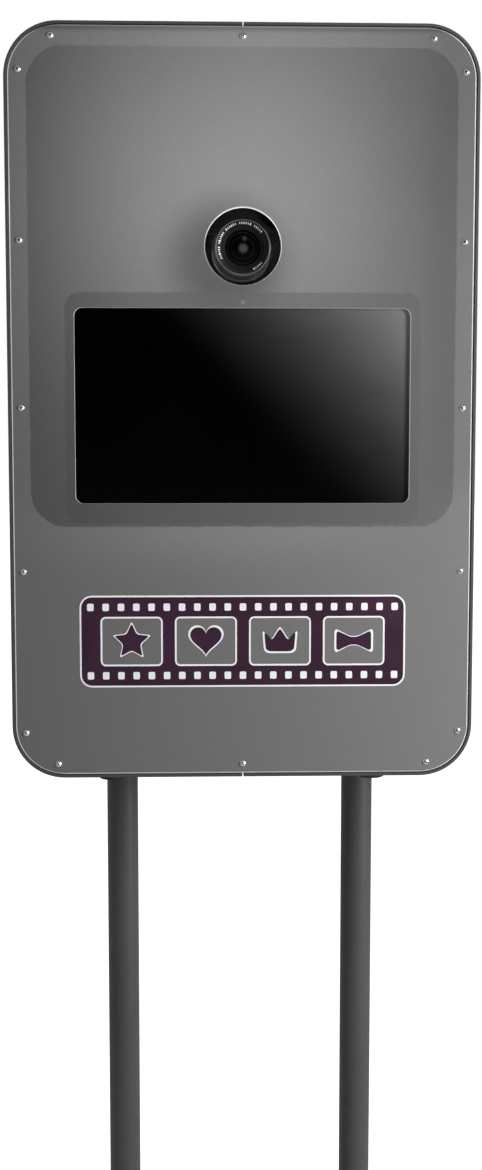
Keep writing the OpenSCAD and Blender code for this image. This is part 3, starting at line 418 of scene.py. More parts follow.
def shades_over(sheet, x, z, grey, screen):
    # Painted shade round the camera hole, weaker over the screen's field.
    halo = near_point(sheet, x, z, halo_middle, 30 * MM, 92 * MM)
    halo = times(sheet, halo, spread(sheet, screen, halo_on_sheet, halo_on_screen, 0.0, 1.0))
    grey = dimmed(sheet, grey, halo)
    # The upper right corner and the right flank above the screen's foot are darkened with painted shade.
    rising = spread(sheet, z, 0.0, 1.0, panel_mid.z + 150 * MM, panel_mid.z + 380 * MM)
    corner = times(sheet, spread(sheet, x, 0.0, corner_dim, 0.02, 0.2), rising)
    beside = spread(sheet, z, 0.0, 1.0, glass_low.z + 20 * MM, glass_low.z + 60 * MM)
    flank = times(sheet, spread(sheet, x, 0.0, flank_dim, 0.2, 0.235), beside)
    grey = dimmed(sheet, grey, plus(sheet, corner, flank))
    # The painted glow of a small lamp behind the sheet, over the screen.
    painted_lamp_glow = near_point(sheet, x, z, lamp_middle, 1.5 * MM, 3.2 * MM)
    grey = plus(sheet, grey, times(sheet, painted_lamp_glow, lamp_light))
    # A painted shadow just under the top edge.
    top_edge_shadow = bell(sheet, z, panel_high.z - 3 * MM, 2.2 * MM)
    grey = dimmed(sheet, grey, times(sheet, top_edge_shadow, top_edge_shadow_dim))
    # A painted slope of light from the lamp at the right; the grain after it is the sheet's own.
    slope = spread(sheet, x, 0.83, 1.1, -0.26, 0.26)
    grain = spread(sheet, noise(sheet, 520, 2), 0.93, 1.07)
    return times(sheet, grey, times(sheet, slope, grain))


print("halo", round(lens_z - halo_middle[1], 3), "m below the lens axis")

# %% [markdown]
# The cut edges of acrylic gather light and shine, and that light is painted here. Wherever the surface turns
# away from the front, and on a thin ring round the camera hole, the grey is painted nearly white as a
# highlight and gives off a little painted glow of its own. The top edge lies in shade and its painted
# highlight is weaker, and edges that face left, towards the open room, get more painted glow.

# %% Painted highlights on the cut edges and the finished sheet
# Places, colour and glow of the painted highlight on the cut edges.
hole_middle = (lens_x, lens_z + 0.5 * MM)
hole_radius = 43.2 * MM
edge_highlight_white = (0.86, 0.86, 0.86)
edge_glow = 0.14
hole_top_glow = 0.2
left_edge_glow = 0.25


def painted_edge_highlights(sheet, x, z):
    """How much of a point is a cut edge with a painted highlight, from 0 to 1, and how much painted glow it
    gives off.
    """
    face = add_node(sheet, "ShaderNodeSeparateXYZ")
    join(sheet, add_node(sheet, "ShaderNodeTexCoord").outputs["Normal"], face.inputs[0])
    # Edges turned away from the front get the painted highlight, weaker near the top edge.
    turned = spread(sheet, math_step(sheet, "ABSOLUTE", face.outputs["Y"]), 1.0, 0.0, 0.75, 0.98)
    below_top = spread(sheet, z, 1.0, 0.35, panel_high.z - 12 * MM, panel_high.z - 3 * MM)
    turned = times(sheet, turned, below_top)
    # A thin painted highlight round the camera hole, stronger at its bottom.
    hole_rim_highlight = near_point(sheet, x, z, hole_middle, hole_radius, hole_radius + 0.6 * MM)
    rim_share = spread(sheet, z, 1.0, 0.5, lens_z - 35 * MM, lens_z + 10 * MM)
    edge = math_step(sheet, "MAXIMUM", turned, times(sheet, hole_rim_highlight, rim_share))
    hole_top = times(sheet, bell(sheet, z, lens_z + 43 * MM, 30 * MM), hole_top_glow)
    facing_left = spread(sheet, face.outputs["X"], left_edge_glow, 0.0, -0.9, -0.3)
    glow = times(sheet, edge, plus(sheet, hole_top, edge_glow))
    return edge, plus(sheet, glow, times(sheet, facing_left, below_top))


def grey_acrylic():
    sheet, shader = new_finish("satin_grey_acrylic", (0.15, 0.15, 0.15), 0.36, Specular_IOR_Level=0.3)
    x, z = plane_place(sheet)
    grey, screen = tones_behind(sheet, x, z)
    grey = shades_over(sheet, x, z, grey, screen)
    edge, glow = painted_edge_highlights(sheet, x, z)
    # Painted highlight and painted glow on the edges, over the painted light and shade of the sheet.
    join(sheet, mix_colours(sheet, edge, grey, edge_highlight_white), shader.inputs["Base Color"])
    set_inputs(shader, Emission_Color=(1, 1, 1, 1))
    join(sheet, glow, shader.inputs["Emission Strength"])
    join(sheet, spread(sheet, noise(sheet, 22, 4), 0.33, 0.42), shader.inputs["Roughness"])
    bump(sheet, shader, noise(sheet, 900, 2), 0.05, 0.0002)
    return sheet


dress(grey_acrylic(), "front_panel")
soften_edges(0.8 * MM, "front_panel")
print("acrylic sheet", round(panel_high.x - panel_low.x, 3), "m wide")

# %% [markdown]
# ## Black glass
# The screen is off: a black glass with a painted reflection of a lamp to the right, strongest in the upper
# right corner. A mirror image of that lamp would slide about as one walks past, so the painted reflection is
# a straight ramp across the glass in the base colour. The polish comes from a low roughness with faint
# wiping marks. The camera's rear screen and finder have the same glass with a weaker painted reflection.

# %% Screen glass
# The shape of the painted reflection's ramp across the glass.
reflection_curve = 2.25
reflection_start = -15 * MM


def glass_with_painted_reflection(name, low, high, strength):
    glass, shader = new_finish(name, (0, 0, 0), 0.2, Specular_IOR_Level=0.12)
    x, z = plane_place(glass)
    off_x = minus(glass, x, (low.x + high.x) / 2)
    off_z = minus(glass, z, (low.z + high.z) / 2)
    reflection_end = (high.x - low.x + high.z - low.z) / 2
    # A painted reflection of the lamp, brightest towards the upper right corner.
    towards_corner = spread(glass, plus(glass, off_x, off_z), 0.0, 1.0, reflection_start, reflection_end)
    painted_reflection = times(glass, math_step(glass, "POWER", towards_corner, reflection_curve), strength)
    wiped = spread(glass, noise(glass, 14, 5, (1, 1, 2.5)), 0.94, 1.06)
    join(glass, times(glass, painted_reflection, wiped), shader.inputs["Base Color"])
    join(glass, spread(glass, noise(glass, 9, 5, (2, 1, 1)), 0.16, 0.24), shader.inputs["Roughness"])
    return glass


dress(glass_with_painted_reflection("dark_touch_glass", glass_low, glass_high, 0.22), "touch_glass")
view_low, view_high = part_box("camera_screen")
camera_glass = glass_with_painted_reflection("dark_camera_glass", view_low, view_high, 0.02)
dress(camera_glass, "camera_screen")
print("screen", round(glass_high.x - glass_low.x, 3), "m wide")

# %% [markdown]
# ## Bare and plated metal
# The screws, pins and the fan's guard are polished stainless steel, the brackets and hinges are zinc
# plated, and the power supply's case is bare aluminium. Metals are told apart by their roughness more than
# by their colour: polish with hairlines, plating with a cloudy spangle, and rolled sheet with a grain that
# runs one way. A stretched noise draws the lines, and cells draw the spangle.

# %% Metals
def polished_steel():
    steel, shader = new_finish("polished_stainless", (0.72, 0.72, 0.73), 0.2, 1.0)
    lines = noise(steel, 900, 2, (1, 1, 0.08))
    patches = noise(steel, 160, 2)
    join(steel, ramp(steel, patches, (0.62, 0.62, 0.63), (0.8, 0.8, 0.81)), shader.inputs["Base Color"])
    join(steel, spread(steel, lines, 0.12, 0.3), shader.inputs["Roughness"])
    bump(steel, shader, lines, 0.08, 0.0001)
    return steel


def zinc_plate():
    zinc, shader = new_finish("zinc_plating", (0.6, 0.61, 0.62), 0.36, 1.0)
    spangle = add_node(zinc, "ShaderNodeTexVoronoi")
    set_inputs(spangle, Scale=140)
    join(zinc, object_place(zinc), spangle.inputs["Vector"])
    tone = ramp(zinc, spangle.outputs["Color"], (0.5, 0.51, 0.53), (0.66, 0.67, 0.67), 0.2, 0.8)
    join(zinc, tone, shader.inputs["Base Color"])
    join(zinc, spread(zinc, noise(zinc, 60, 4), 0.28, 0.46), shader.inputs["Roughness"])
    bump(zinc, shader, noise(zinc, 700, 2), 0.06, 0.0002)
    return zinc


def rolled_aluminium():
    sheet, shader = new_finish("rolled_aluminium", (0.75, 0.76, 0.77), 0.34, 1.0)
    grain = noise(sheet, 420, 3, (1, 1, 0.04))
    join(sheet, ramp(sheet, grain, (0.66, 0.67, 0.68), (0.8, 0.8, 0.81)), shader.inputs["Base Color"])
    join(sheet, spread(sheet, grain, 0.26, 0.44), shader.inputs["Roughness"])
    bump(sheet, shader, grain, 0.1, 0.0002)
    return sheet


steel = polished_steel()
zinc = zinc_plate()
dress(steel, "machine_screws", "panel_screws", "pc_button", "inlet_pins", "shutter_button", "hinge_pins")
dress(steel, "lock_bodies", "fan_guard")
dress(zinc, "base_fasteners", "top_splice", "floor_plate", "frame_brackets", "head_socket_bolts")
dress(zinc, "monitor_rails", "camera_bracket", "camera_fasteners", "frame_hinge_leaves", "door_hinge_leaves")
dress(zinc, "upper_lock_cam", "lower_lock_cam")
dress(rolled_aluminium(), "power_supply_case")
soften_edges(0.25 * MM, "camera_bracket", "monitor_rails", "frame_hinge_leaves", "door_hinge_leaves")
print("steel, zinc and aluminium done")

# %% [markdown]
# ## Paint, plastic and rubber
# The light tray and the frame behind the front are painted matt white to throw the light forward. Moulded
# plastic has a fine spark-eroded grain and shines a little, rubber is duller, darker and dusty. One function
# with a colour, a grain size and a shine makes all of them, so they stay a family.

# %% Moulded and painted surfaces
dust_tone = 0.12


def moulded(name, colour, roughness, grain, relief, shine=0.4, dust=0.12):
    """A grained surface; grain is the size of the noise and relief the strength of its bump."""
    finish, shader = new_finish(name, colour, roughness, Specular_IOR_Level=shine)
    paler = tuple(part + dust * dust_tone for part in colour)
    patches = ramp(finish, noise(finish, 26, 5), colour, paler, 0.42, 0.75)
    specks = ramp(finish, noise(finish, grain, 2), (0.86, 0.86, 0.86), (1.14, 1.14, 1.14), 0.35, 0.65)
    join(finish, mix_colours(finish, 1.0, patches, specks, "MULTIPLY"), shader.inputs["Base Color"])
    rough = spread(finish, noise(finish, 34, 3), roughness - 0.06, roughness + 0.08)
    join(finish, rough, shader.inputs["Roughness"])
    bump(finish, shader, noise(finish, grain, 3), relief, 0.0003)
    return finish


white_paint = moulded("matt_white_paint", (0.78, 0.78, 0.77), 0.6, 500, 0.2)
black_paint = moulded("satin_black_paint", (0.028, 0.028, 0.03), 0.42, 650, 0.25)
black_plastic = moulded("grained_black_plastic", (0.022, 0.022, 0.024), 0.48, 1300, 0.3)
rubber = moulded("dusty_black_rubber", (0.018, 0.018, 0.018), 0.78, 800, 0.35, 0.25, 0.3)
dress(white_paint, "front_frame", "light_tray")
dress(black_paint, "pc_case", "camera_cradle")
dress(black_plastic, "left_clamp_knob", "right_clamp_knob", "lcd_panel", "monitor_housing", "power_inlet")
dress(black_plastic, "tilt_knob", "fan_frame", "fan_rotor")
dress(rubber, "base_feet", "head_feet", "door_seal")
dress(moulded("red_rocker_plastic", (0.42, 0.012, 0.01), 0.3, 900, 0.08, 0.5, 0.05), "power_switch")
soften_edges(0.6 * MM, "left_clamp_knob", "right_clamp_knob", "monitor_housing", "fan_frame")
soften_edges(0.8 * MM, "head_feet", "base_feet")
soften_edges(0.3 * MM, "power_inlet", "power_switch", "pc_case", "tilt_knob")
print("paint, plastic and rubber done")

# %% [markdown]
# ## Circuit boards and light strips
# The boards behind the door are green lacquer over copper: tracks show through as slightly lighter lines.
# A brick pattern turned to follow the board gives tracks with even gaps. The strips are white boards, and
# the chips on them are yellow phosphor under clear silicone.

# %% Boards and chips
def circuit_green():
    board, shader = new_finish("green_solder_lacquer", (0.01, 0.11, 0.05), 0.28, Specular_IOR_Level=0.6)
    tracks = add_node(board, "ShaderNodeTexBrick")
    set_inputs(tracks, Scale=90, Mortar_Size=0.03, Brick_Width=0.9, Row_Height=0.22)
    set_inputs(tracks, Color1=(0.008, 0.1, 0.042, 1), Color2=(0.012, 0.13, 0.055, 1))
    set_inputs(tracks, Mortar=(0.06, 0.26, 0.12, 1))
    turn = add_node(board, "ShaderNodeMapping")
    set_inputs(turn, Rotation=(math.pi / 2, 0, 0))
    join(board, add_node(board, "ShaderNodeTexCoord").outputs["Object"], turn.inputs["Vector"])
    join(board, turn.outputs["Vector"], tracks.inputs["Vector"])
    join(board, tracks.outputs["Color"], shader.inputs["Base Color"])
    join(board, spread(board, noise(board, 80, 3), 0.2, 0.36), shader.inputs["Roughness"])
    bump(board, shader, tracks.outputs["Fac"], 0.12, 0.0002)
    return board


dress(circuit_green(), "circuit_boards")
dress(moulded("white_board_lacquer", (0.74, 0.74, 0.72), 0.4, 900, 0.06), "led_boards")
dress(moulded("phosphor_chip", (0.78, 0.62, 0.14), 0.32, 1500, 0.05, 0.6), "led_chips")
print("boards and chips done")

# %% [markdown]
# ## Camera finishes
# The camera body is black plastic with a pebbled grip, the lens barrels are smoother, and the zoom ring is
# ribbed rubber. The front glass is nearly black and has hardly any shine of its own. A small soft disc on
# the lens axis is a painted highlight where the iris catches a little light, and two faint rings are painted
# highlights of the inner mounts.

# %% Camera finishes
def pebbled_grip():
    grip, shader = new_finish("pebbled_camera_skin", (0.02, 0.02, 0.021), 0.6, Specular_IOR_Level=0.35)
    pebbles = add_node(grip, "ShaderNodeTexVoronoi", feature="SMOOTH_F1")
    set_inputs(pebbles, Scale=900)
    join(grip, object_place(grip), pebbles.inputs["Vector"])
    away = pebbles.outputs["Distance"]
    tone = ramp(grip, away, (0.026, 0.026, 0.027), (0.012, 0.012, 0.013), 0.1, 0.6)
    join(grip, tone, shader.inputs["Base Color"])
    join(grip, spread(grip, noise(grip, 60, 2), 0.5, 0.68), shader.inputs["Roughness"])
    bump(grip, shader, times(grip, away, -1.0), 0.4, 0.0004)
    return grip


# The black of the lens glass, the white of its painted highlights and their strengths.
glass_black = (0.0012, 0.0012, 0.0014)
lens_highlight_white = (0.97, 0.97, 1.0)
iris_highlight_share = 0.055
inner_mount_highlight_share = 0.006
outer_mount_highlight_share = 0.014


def coated_glass():
    glass, shader = new_finish("coated_lens_glass", (0.002, 0.002, 0.003), 0.12, Specular_IOR_Level=0.06)
    x, z = plane_place(glass)
    off_axis = length_of(glass, minus(glass, x, lens_x), minus(glass, z, lens_z))
    # Painted highlights of the iris and of the two inner mounts, seen through the glass.
    iris_highlight = near_point(glass, x, z, (lens_x + 0.5 * MM, lens_z - 0.5 * MM), 2.0 * MM, 7.0 * MM)
    inner_mount_highlight = bell(glass, off_axis, 12.4 * MM, 0.35 * MM)
    outer_mount_highlight = bell(glass, off_axis, 17.6 * MM, 0.5 * MM)
    glow = plus(glass, times(glass, iris_highlight, iris_highlight_share), times(glass, inner_mount_highlight, inner_mount_highlight_share))
    glow = plus(glass, glow, times(glass, outer_mount_highlight, outer_mount_highlight_share))
    join(glass, mix_colours(glass, glow, glass_black, lens_highlight_white), shader.inputs["Base Color"])
    join(glass, spread(glass, noise(glass, 120, 3), 0.1, 0.16), shader.inputs["Roughness"])
    return glass


barrel_plastic = moulded("black_barrel_plastic", (0.009, 0.009, 0.0095), 0.5, 1500, 0.15, 0.15, 0.03)
dress(pebbled_grip(), "camera_body")
dress(barrel_plastic, "lens_barrel", "front_barrel", "mode_dial")
dress(rubber, "zoom_ring")
dress(coated_glass(), "lens_glass")
soften_edges(0.7 * MM, "camera_body")
soften_edges(0.3 * MM, "camera_screen", "mode_dial", "front_barrel")
print("camera finishes done")

# %% [markdown]
# ## Turned rings of the lens
# Looking into the hole, the front of the lens is a set of nested rings: the filter rim, a sloped ring with
# a printed scale, and fine steps down to the glass that stop stray light. Each is a profile turned round
# the lens axis. A Screw modifier could turn them, but a short loop keeps the points evenly spaced and needs
# no applied modifier. Profiles are pairs of radius and depth behind the front rim, in millimetres.

# %% Making and cleaning a mesh
def place_mesh(name, points, faces, finish, body):
    data = bpy.data.meshes.new(name)
    data.from_pydata([tuple(point) for point in points], [], faces)
    data.validate()
    data.materials.append(finish)
    piece = bpy.data.objects.new(name, data)
    bpy.context.scene.collection.objects.link(piece)
    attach(piece, body)
    return piece


def clean_mesh(piece, sharp_degrees=None, weld=False):
    """Turn the faces outward; weld doubled points if told, and shade smooth between sharp edges."""
    mesh = bmesh.new()
    mesh.from_mesh(piece.data)
    if weld:
        bmesh.ops.remove_doubles(mesh, verts=mesh.verts, dist=weld_reach)
        bmesh.ops.dissolve_degenerate(mesh, edges=mesh.edges, dist=weld_reach / 10)
    bmesh.ops.recalc_face_normals(mesh, faces=mesh.faces)
    if sharp_degrees is not None:
        for face in mesh.faces:
            face.smooth = True
        for edge in mesh.edges:
            edge.smooth = edge.calc_face_angle(0) < math.radians(sharp_degrees)
    mesh.to_mesh(piece.data)
    mesh.free()


print("mesh helpers ready")

# %% Rings of the lens
def turned_ring(name, profile, middle, finish, body, steps=96):
    """A closed profile of (radius, depth) in millimetres, turned round an axis along Y."""
    points, faces = [], []
    count = len(profile)
    for step in range(steps):
        angle = 2 * math.pi * step / steps
        for radius, depth in profile:
            points.append(middle + Vector((radius * math.cos(angle), depth, radius * math.sin(angle))) * MM)
    for step in range(steps):
        after = (step + 1) % steps
        for k in range(count):
            nxt = (k + 1) % count
            faces.append((step * count + k, step * count + nxt, after * count + nxt, after * count + k))
    piece = place_mesh(name, points, faces, finish, body)
    clean_mesh(piece, sharp_degrees=25)
    return piece


lens_front = Vector((lens_x, lens_low.y, lens_z))
rim_plastic = moulded("polished_rim_plastic", (0.05, 0.05, 0.05), 0.3, 1500, 0.03, 0.5, 0.02)
filter_rim = [(30.95, -0.3), (30.5, -0.6), (30.0, -0.45), (29.2, 0.3), (29.0, 0.5), (30.95, 0.5)]
turned_ring("filter_rim", filter_rim, lens_front, rim_plastic, "lens_front")
scale_ring = [(28.6, -0.05), (25.4, 1.6), (25.4, 2.6), (28.6, 0.6)]
turned_ring("scale_ring", scale_ring, lens_front, barrel_plastic, "lens_front")
steps_down = []
for k in range(6):
    radius = 25.0 - k * 0.85
    steps_down += [(radius, 1.9 + k * 0.62), (radius - 0.42, 1.9 + k * 0.62)]
steps_back = [(radius + 0.2, depth + 0.7) for radius, depth in reversed(steps_down)]
baffle = steps_down + steps_back
turned_ring("light_baffle", baffle, lens_front, barrel_plastic, "lens_front")
print("three turned rings on the lens")

# %% [markdown]
# The scale on the sloped ring is a row of short printed strokes, longer and shorter ones by turns, in two
# arcs with small gaps. They say nothing, as real marks would, and lie a hair above the ring.

# %% Printed strokes on the scale ring
scale_white = moulded("printed_white_ink", (0.86, 0.86, 0.85), 0.5, 1800, 0.02, dust=0.02)
ring_rim, ring_rim_depth = scale_ring[0]
ring_foot, ring_foot_depth = scale_ring[1]
ring_slope = (ring_foot_depth - ring_rim_depth) / (ring_rim - ring_foot)
ink_lift = 0.06
gap_every = 7
gap_at = 5


def stroke_arc(name, start, stop, count):
    """Strokes from the start to the stop angle, in degrees, lying on the slope of the scale ring."""
    points, faces = [], []
    for k in range(count):
        if k % gap_every == gap_at:
            continue
        angle = math.radians(start + (stop - start) * k / (count - 1))
        half = (0.36 if k % 3 else 0.55) * MM
        across = Vector((-math.sin(angle), 0, math.cos(angle)))
        inner, outer = (26.0, 27.8) if k % 2 else (25.8, 28.2)
        first = len(points)
        for radius, side in ((inner, -1), (inner, 1), (outer, 1), (outer, -1)):
            depth = (ring_rim - radius) * ring_slope + ring_rim_depth - ink_lift
            spot = lens_front + Vector((radius * math.cos(angle), depth, radius * math.sin(angle))) * MM
            points.append(spot + across * side * half)
        faces.append((first, first + 1, first + 2, first + 3))
    return place_mesh(name, points, faces, scale_white, "lens_front")


stroke_arc("upper_scale_strokes", 40, 212, 34)
stroke_arc("lower_scale_strokes", -62, -40, 5)
print("strokes printed on the scale ring")

# %% [markdown]
# ## The printed film under the screen
# A strip of cut film is stuck on the acrylic, with four windows like a strip of pictures. The film is dark
# plum with a thin white border, and a small sign sits in each window: a star, a heart, a crown and a bow.
# Booleans could cut such flat shapes. Listing their outlines and giving them a film's thickness is simpler,
# has clean edges, and lets the white border be the same outline grown a little.

# %% Plum film and white film
def cut_film(name, dark, light, roughness):
    film, shader = new_finish(name, light, roughness, Specular_IOR_Level=0.4)
    join(film, ramp(film, noise(film, 9, 3), dark, light, 0.3, 0.7), shader.inputs["Base Color"])
    rough = spread(film, noise(film, 40, 3), roughness - 0.05, roughness + 0.06)
    join(film, rough, shader.inputs["Roughness"])
    bump(film, shader, noise(film, 240, 2), 0.06, 0.0002)
    return film


plum_film = cut_film("plum_vinyl_film", (0.022, 0.003, 0.017), (0.037, 0.0078, 0.03), 0.46)
white_film = cut_film("white_vinyl_film", (0.84, 0.84, 0.84), (0.9, 0.9, 0.9), 0.5)
dress(plum_film, "decal")
print("plum and white film ready")

# %% Outlines
def rounded_box(width, height, radius, steps=7):
    outline = []
    for corner, (side_x, side_z) in enumerate(((1, 1), (-1, 1), (-1, -1), (1, -1))):
        for step in range(steps):
            angle = math.pi / 2 * (corner + step / (steps - 1))
            outline.append((side_x * (width / 2 - radius) + radius * math.cos(angle),
                            side_z * (height / 2 - radius) + radius * math.sin(angle)))
    return outline


def cut_corners(outline, rounds=3, share=0.12):
    """Cut off every corner, a few rounds over, until the outline looks round."""
    for _ in range(rounds):
        softer = []
        for here, after in zip(outline, outline[1:] + outline[:1]):
            for part in (share, 1 - share):
                softer.append(tuple(a + (b - a) * part for a, b in zip(here, after)))
        outline = softer
    return outline


def grown(outline, by):
    wide = max(abs(x) for x, z in outline)
    high = max(abs(z) for x, z in outline)
    return [(x * (1 + by / wide), z * (1 + by / high)) for x, z in outline]


def moved(outline, x, z):
    return [(px + x, pz + z) for px, pz in outline]


print("a rounded box has", len(rounded_box(2, 1, 0.2)), "corners in its outline")

# %% Film cut to an outline
decal_middle = (decal_low.z + decal_high.z) / 2


def film_shapes(name, shapes, back, front, finish, body="head", middle_z=decal_middle):
    """Flat plates from outlines in metres, round the decal's middle unless told; a pair makes a ring."""
    points, faces = [], []
    for shape in shapes:
        loops = shape if isinstance(shape, tuple) else (shape,)
        count = len(loops[0])
        first = len(points)
        rows = [(loops[0], front), (loops[0], back)]
        if len(loops) == 2:
            rows += [(loops[1], back), (loops[1], front)]
        for loop, y in rows:
            points += [Vector((x, y, middle_z + z)) for x, z in loop]
        turns = len(rows) if len(loops) == 2 else 1
        for row in range(turns):
            here, there = first + row * count, first + (row + 1) % len(rows) * count
            for k in range(count):
                faces.append((here + k, here + (k + 1) % count, there + (k + 1) % count, there + k))
        if len(loops) == 1:
            faces.append(tuple(range(first + count - 1, first - 1, -1)))
            faces.append(tuple(range(first + count, first + 2 * count)))
    piece = place_mesh(name, points, faces, finish, body)
    clean_mesh(piece)
    return piece


print("film shapes lie round", round(decal_middle, 3), "m up")

# %% [markdown]
# The white border runs round the strip and round each of its four windows, and two rows of small white marks
# run along its edges. Borders are rings between two rounded boxes, one inside the other.

# %% Borders
film_wide = decal_high.x - decal_low.x
film_high = decal_high.z - decal_low.z
film_face = decal_low.y
window_wide = film_wide / 5.2
window_tall = film_high * 0.56
window_places = [(k - 1.5) * film_wide / 4.35 for k in range(4)]
border = 2.0 * MM

strip = rounded_box(film_wide, film_high, 12 * MM)
round_strip = rounded_box(film_wide + 2 * border, film_high + 2 * border, 14 * MM)
borders = [(round_strip, strip)]
for place in window_places:
    opening = rounded_box(window_wide, window_tall, 6 * MM)
    inner = rounded_box(window_wide - 2 * border, window_tall - 2 * border, 4 * MM)
    borders.append((moved(opening, place, 0), moved(inner, place, 0)))
film_shapes("film_borders", borders, front_y, film_face, white_film)
print("film", round(film_wide, 3), "m wide with", len(borders), "white borders")

# %% Edge marks
mark_count = 21
mark_row = film_high / 2 - 11.5 * MM
mark = rounded_box(7.5 * MM, 8.5 * MM, 1.6 * MM, 5)
marks = []
for row in (-1, 1):
    for k in range(mark_count):
        across = (k - (mark_count - 1) / 2) * film_wide / (mark_count + 0.2)
        marks.append(moved(mark, across, row * mark_row))
film_shapes("film_edge_marks", marks, film_face, film_face - 0.1 * MM, white_film)
print(len(marks), "edge marks")

# %% [markdown]
# The signs are drawn as outlines: the star by two radii in turn, the heart by its well-known curve, and the
# crown and the bow by their corners in millimetres, which are then cut until they look round.

# %% Signs in the windows
def star_outline(points, outer, inner):
    outline = []
    for k in range(points * 2):
        angle = math.pi / 2 + math.pi * k / points
        radius = inner if k % 2 else outer
        outline.append((radius * math.cos(angle), radius * math.sin(angle)))
    return outline


def heart_outline(size, steps=48):
    outline = []
    for k in range(steps):
        t = -2 * math.pi * k / steps
        rise = 13 * math.cos(t) - 5 * math.cos(2 * t) - 2 * math.cos(3 * t) - math.cos(4 * t)
        outline.append((size * math.sin(t) ** 3, size * (rise + 2.5) / 16))
    return outline


crown = [(-16, -12), (16, -12), (18, 11), (9, 1), (0, 15), (-9, 1), (-18, 11)]
bow = [(-20, 12), (-4, 4.5), (4, 4.5), (20, 12), (20, -12), (4, -4.5), (-4, -4.5), (-20, -12)]
signs = [
    cut_corners(star_outline(5, 21 * MM, 10 * MM)),
    heart_outline(18 * MM),
    cut_corners([(x * MM, z * MM) for x, z in crown]),
    cut_corners([(x * MM, z * MM) for x, z in bow]),
]
placed = [moved(sign, place, 0) for sign, place in zip(signs, window_places)]
edged = [moved(grown(sign, 2.4 * MM), place, 0) for sign, place in zip(signs, window_places)]
film_shapes("sign_borders", edged, front_y, film_face, white_film)
film_shapes("signs", placed, film_face, film_face - 0.15 * MM, plum_film)
print(len(signs), "signs in the windows")

# %% [markdown]
# ## Small parts of the camera
# With the door open the camera's back comes into sight: an eyecup of soft rubber round the finder with a
# small window in it, four push buttons and a control wheel. The dial on top has a ring of short strokes.
# One function turns a profile at several places for the buttons and the wheel. The film function above cuts
# the eyecup, which a bevel then rounds off.

# %% Turned buttons
def turned_piece(name, profile, middles, axis, finish, body, steps=40):
    """A profile of (radius, height) in millimetres, turned at each middle round the given axis."""
    turn = Vector((0, 0, 1)).rotation_difference(Vector(axis))
    points, faces = [], []
    count = len(profile)
    for middle in middles:
        first = len(points)
        for step in range(steps):
            angle = 2 * math.pi * step / steps
            for radius, height in profile:
                spot = Vector((radius * math.cos(angle), radius * math.sin(angle), height)) * MM
                points.append(Vector(middle) + turn @ spot)
        for step in range(steps):
            here, there = first + step * count, first + (step + 1) % steps * count
            for k in range(count if profile[0][0] > 0 else count - 1):
                nxt = (k + 1) % count
                faces.append((here + k, here + nxt, there + nxt, there + k))
    piece = place_mesh(name, points, faces, finish, body)
    clean_mesh(piece, sharp_degrees=35, weld=True)
    return piece


back_y = view_low.y
backward = (0, 1, 0)
button_profile = [(0, 1.4), (2.0, 1.4), (2.5, 0.9), (2.5, -0.3), (0, -0.3)]
buttons = [(view_low.x - 12 * MM, back_y, view_high.z - 8 * MM - k * 12 * MM) for k in range(2)]
buttons += [(view_low.x - k * 14 * MM - 10 * MM, back_y, view_low.z + 5 * MM) for k in (0, 2)]
turned_piece("camera_back_buttons", button_profile, buttons, backward, barrel_plastic, "camera")
wheel_profile = [(9.0, -0.3), (9.0, 1.2), (8.4, 1.8), (5.9, 1.8), (5.3, 1.2), (5.3, -0.3)]
wheel = [(view_low.x - 24 * MM, back_y, view_low.z + 17 * MM)]
turned_piece("camera_back_wheel", wheel_profile, wheel, backward, barrel_plastic, "camera")
print("camera back has", len(buttons), "buttons and a wheel")

# %% Finder
finder_z = lens_z + 38 * MM
cup = (rounded_box(36 * MM, 24 * MM, 7 * MM), rounded_box(25 * MM, 14 * MM, 4 * MM))
eyecup = film_shapes("finder_eyecup", [cup], body_back_y - 0.5 * MM, body_back_y + 2.6 * MM, rubber,
                     "camera", finder_z)
cup_edge = eyecup.modifiers.new("soft_lip", "BEVEL")
cup_edge.width = 0.9 * MM
cup_edge.segments = 3
finder = [rounded_box(21.4 * MM, 11.4 * MM, 2.7 * MM)]
film_shapes("finder_window", finder, body_back_y - 6.2 * MM, body_back_y - 4.5 * MM, camera_glass,
            "camera", finder_z)
print("finder", round(finder_z - lens_z, 3), "m above the lens axis")

# %% Strokes on the mode dial
dial_strokes = 12
dial_low, dial_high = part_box("mode_dial")
dial_middle = (dial_low + dial_high) / 2
dial_face = Vector((dial_middle.x, dial_middle.y, dial_high.z + 0.05 * MM))
dial_points, dial_faces = [], []
for k in range(dial_strokes):
    angle = 2 * math.pi * k / dial_strokes
    along = Vector((math.cos(angle), math.sin(angle), 0))
    across = Vector((-along.y, along.x, 0))
    inner, outer = (5.6, 8.4) if k % 3 == 0 else (6.8, 8.4)
    first = len(dial_points)
    for radius, side in ((inner, -1), (inner, 1), (outer, 1), (outer, -1)):
        dial_points.append(dial_face + (along * radius + across * side * 0.35) * MM)
    dial_faces.append((first, first + 1, first + 2, first + 3))
place_mesh("mode_dial_strokes", dial_points, dial_faces, scale_white, "dial")
print(dial_strokes, "strokes on the dial")

# %% [markdown]
# ## Floor and light
# The booth stands on a plain white floor in front of white paper. The floor gives off light of its own to
# the camera alone, so it looks evenly white and still lights the booth softly from below.

# %% Floor
def studio_floor():
    finish, shader = new_finish("studio_floor", (0.8, 0.8, 0.8), 0.9)
    seen = add_node(finish, "ShaderNodeLightPath").outputs["Is Camera Ray"]
    join(finish, spread(finish, noise(finish, 2, 2), 0.78, 0.82), shader.inputs["Base Color"])
    set_inputs(shader, Emission_Color=(1, 1, 1, 1))
    join(finish, times(finish, seen, 0.9), shader.inputs["Emission Strength"])
    return finish


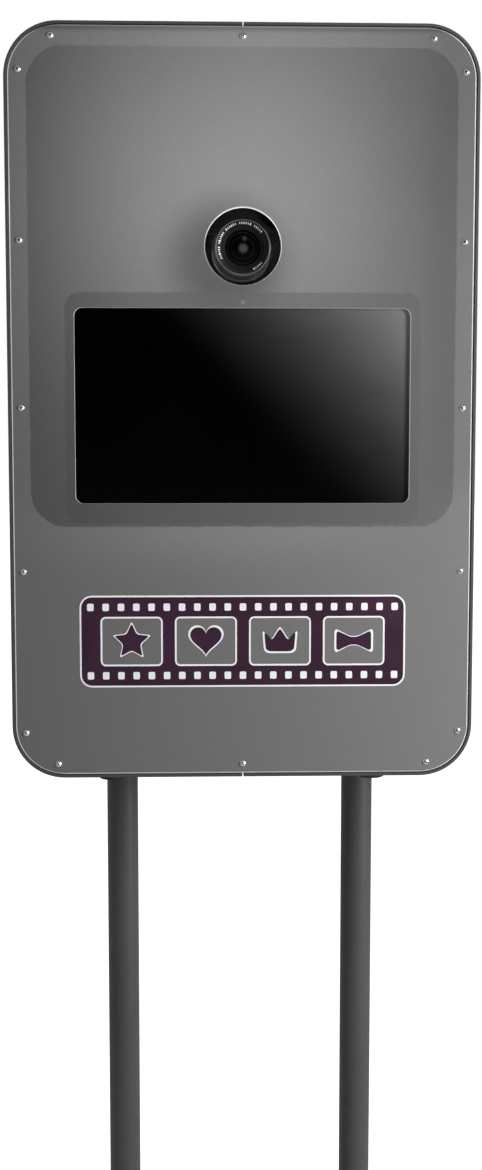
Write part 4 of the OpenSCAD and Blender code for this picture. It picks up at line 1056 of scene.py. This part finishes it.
floor_mesh = bmesh.new()
bmesh.ops.create_grid(floor_mesh, x_segments=8, y_segments=8, size=30)
floor_data = bpy.data.meshes.new("studio_floor")
floor_mesh.to_mesh(floor_data)
floor_mesh.free()
studio = bpy.data.objects.new("studio_floor", floor_data)
bpy.context.scene.collection.objects.link(studio)
floor_data.materials.append(studio_floor())
print("floor laid")

# %% [markdown]
# One soft window lamp to the right makes the slope of grey across the front and the bright flank of the
# tubes, and a small lamp above reaches into the camera hole. Two weak strips between the panel and the tray
# light the camera from the sides, as the booth's own strips do. The world looks white to the eye but
# lights the booth by direction, bright behind and dark in front, which keeps the black glass black.

# %% Lamps
def area_light(name, place, aim, size, size_y, power):
    """A soft rectangular lamp at a place, aimed at a point. Places and sizes are metres, power is watts."""
    lamp = bpy.data.lights.new(name, "AREA")
    lamp.shape = "RECTANGLE"
    lamp.size = size
    lamp.size_y = size_y
    lamp.energy = power
    holder = bpy.data.objects.new(name, lamp)
    holder.location = place
    holder.rotation_euler = (Vector(aim) - Vector(place)).to_track_quat("-Z", "Y").to_euler()
    bpy.context.scene.collection.objects.link(holder)


area_light("right_window", (1.35, -0.95, 1.45), (0, 0, 1.3), 0.5, 1.3, 36)
area_light("upper_lamp", (0.2, -1.45, 2.45), (lens_x, -0.08, lens_z), 0.3, 0.3, 2.5)
strip_y = front_y + 14 * MM
for side, name, power in ((1, "right_strip_glow", 0.8), (-1, "left_strip_glow", 0.5)):
    area_light(name, (side * 0.17, strip_y, lens_z + 0.02), (0, strip_y, lens_z), 0.012, 0.08, power)

# %% White world
def studio_world():
    world = bpy.data.worlds.new("white_studio")
    world.use_nodes = True
    axes = add_node(world, "ShaderNodeSeparateXYZ")
    join(world, add_node(world, "ShaderNodeTexCoord").outputs["Generated"], axes.inputs[0])
    from_front = spread(world, axes.outputs["Y"], 0.02, 0.55, -0.9, 0.1, smooth=True)
    seen = add_node(world, "ShaderNodeLightPath").outputs["Is Camera Ray"]
    backdrop = world.node_tree.nodes["Background"]
    set_inputs(backdrop, Color=(1, 1, 1, 1))
    join(world, math_step(world, "MAXIMUM", seen, from_front), backdrop.inputs["Strength"])
    return world


bpy.context.scene.world = studio_world()
bpy.context.scene.view_settings.view_transform = "Standard"
bpy.context.scene.view_settings.look = "None"
print("world", bpy.context.scene.world.name)
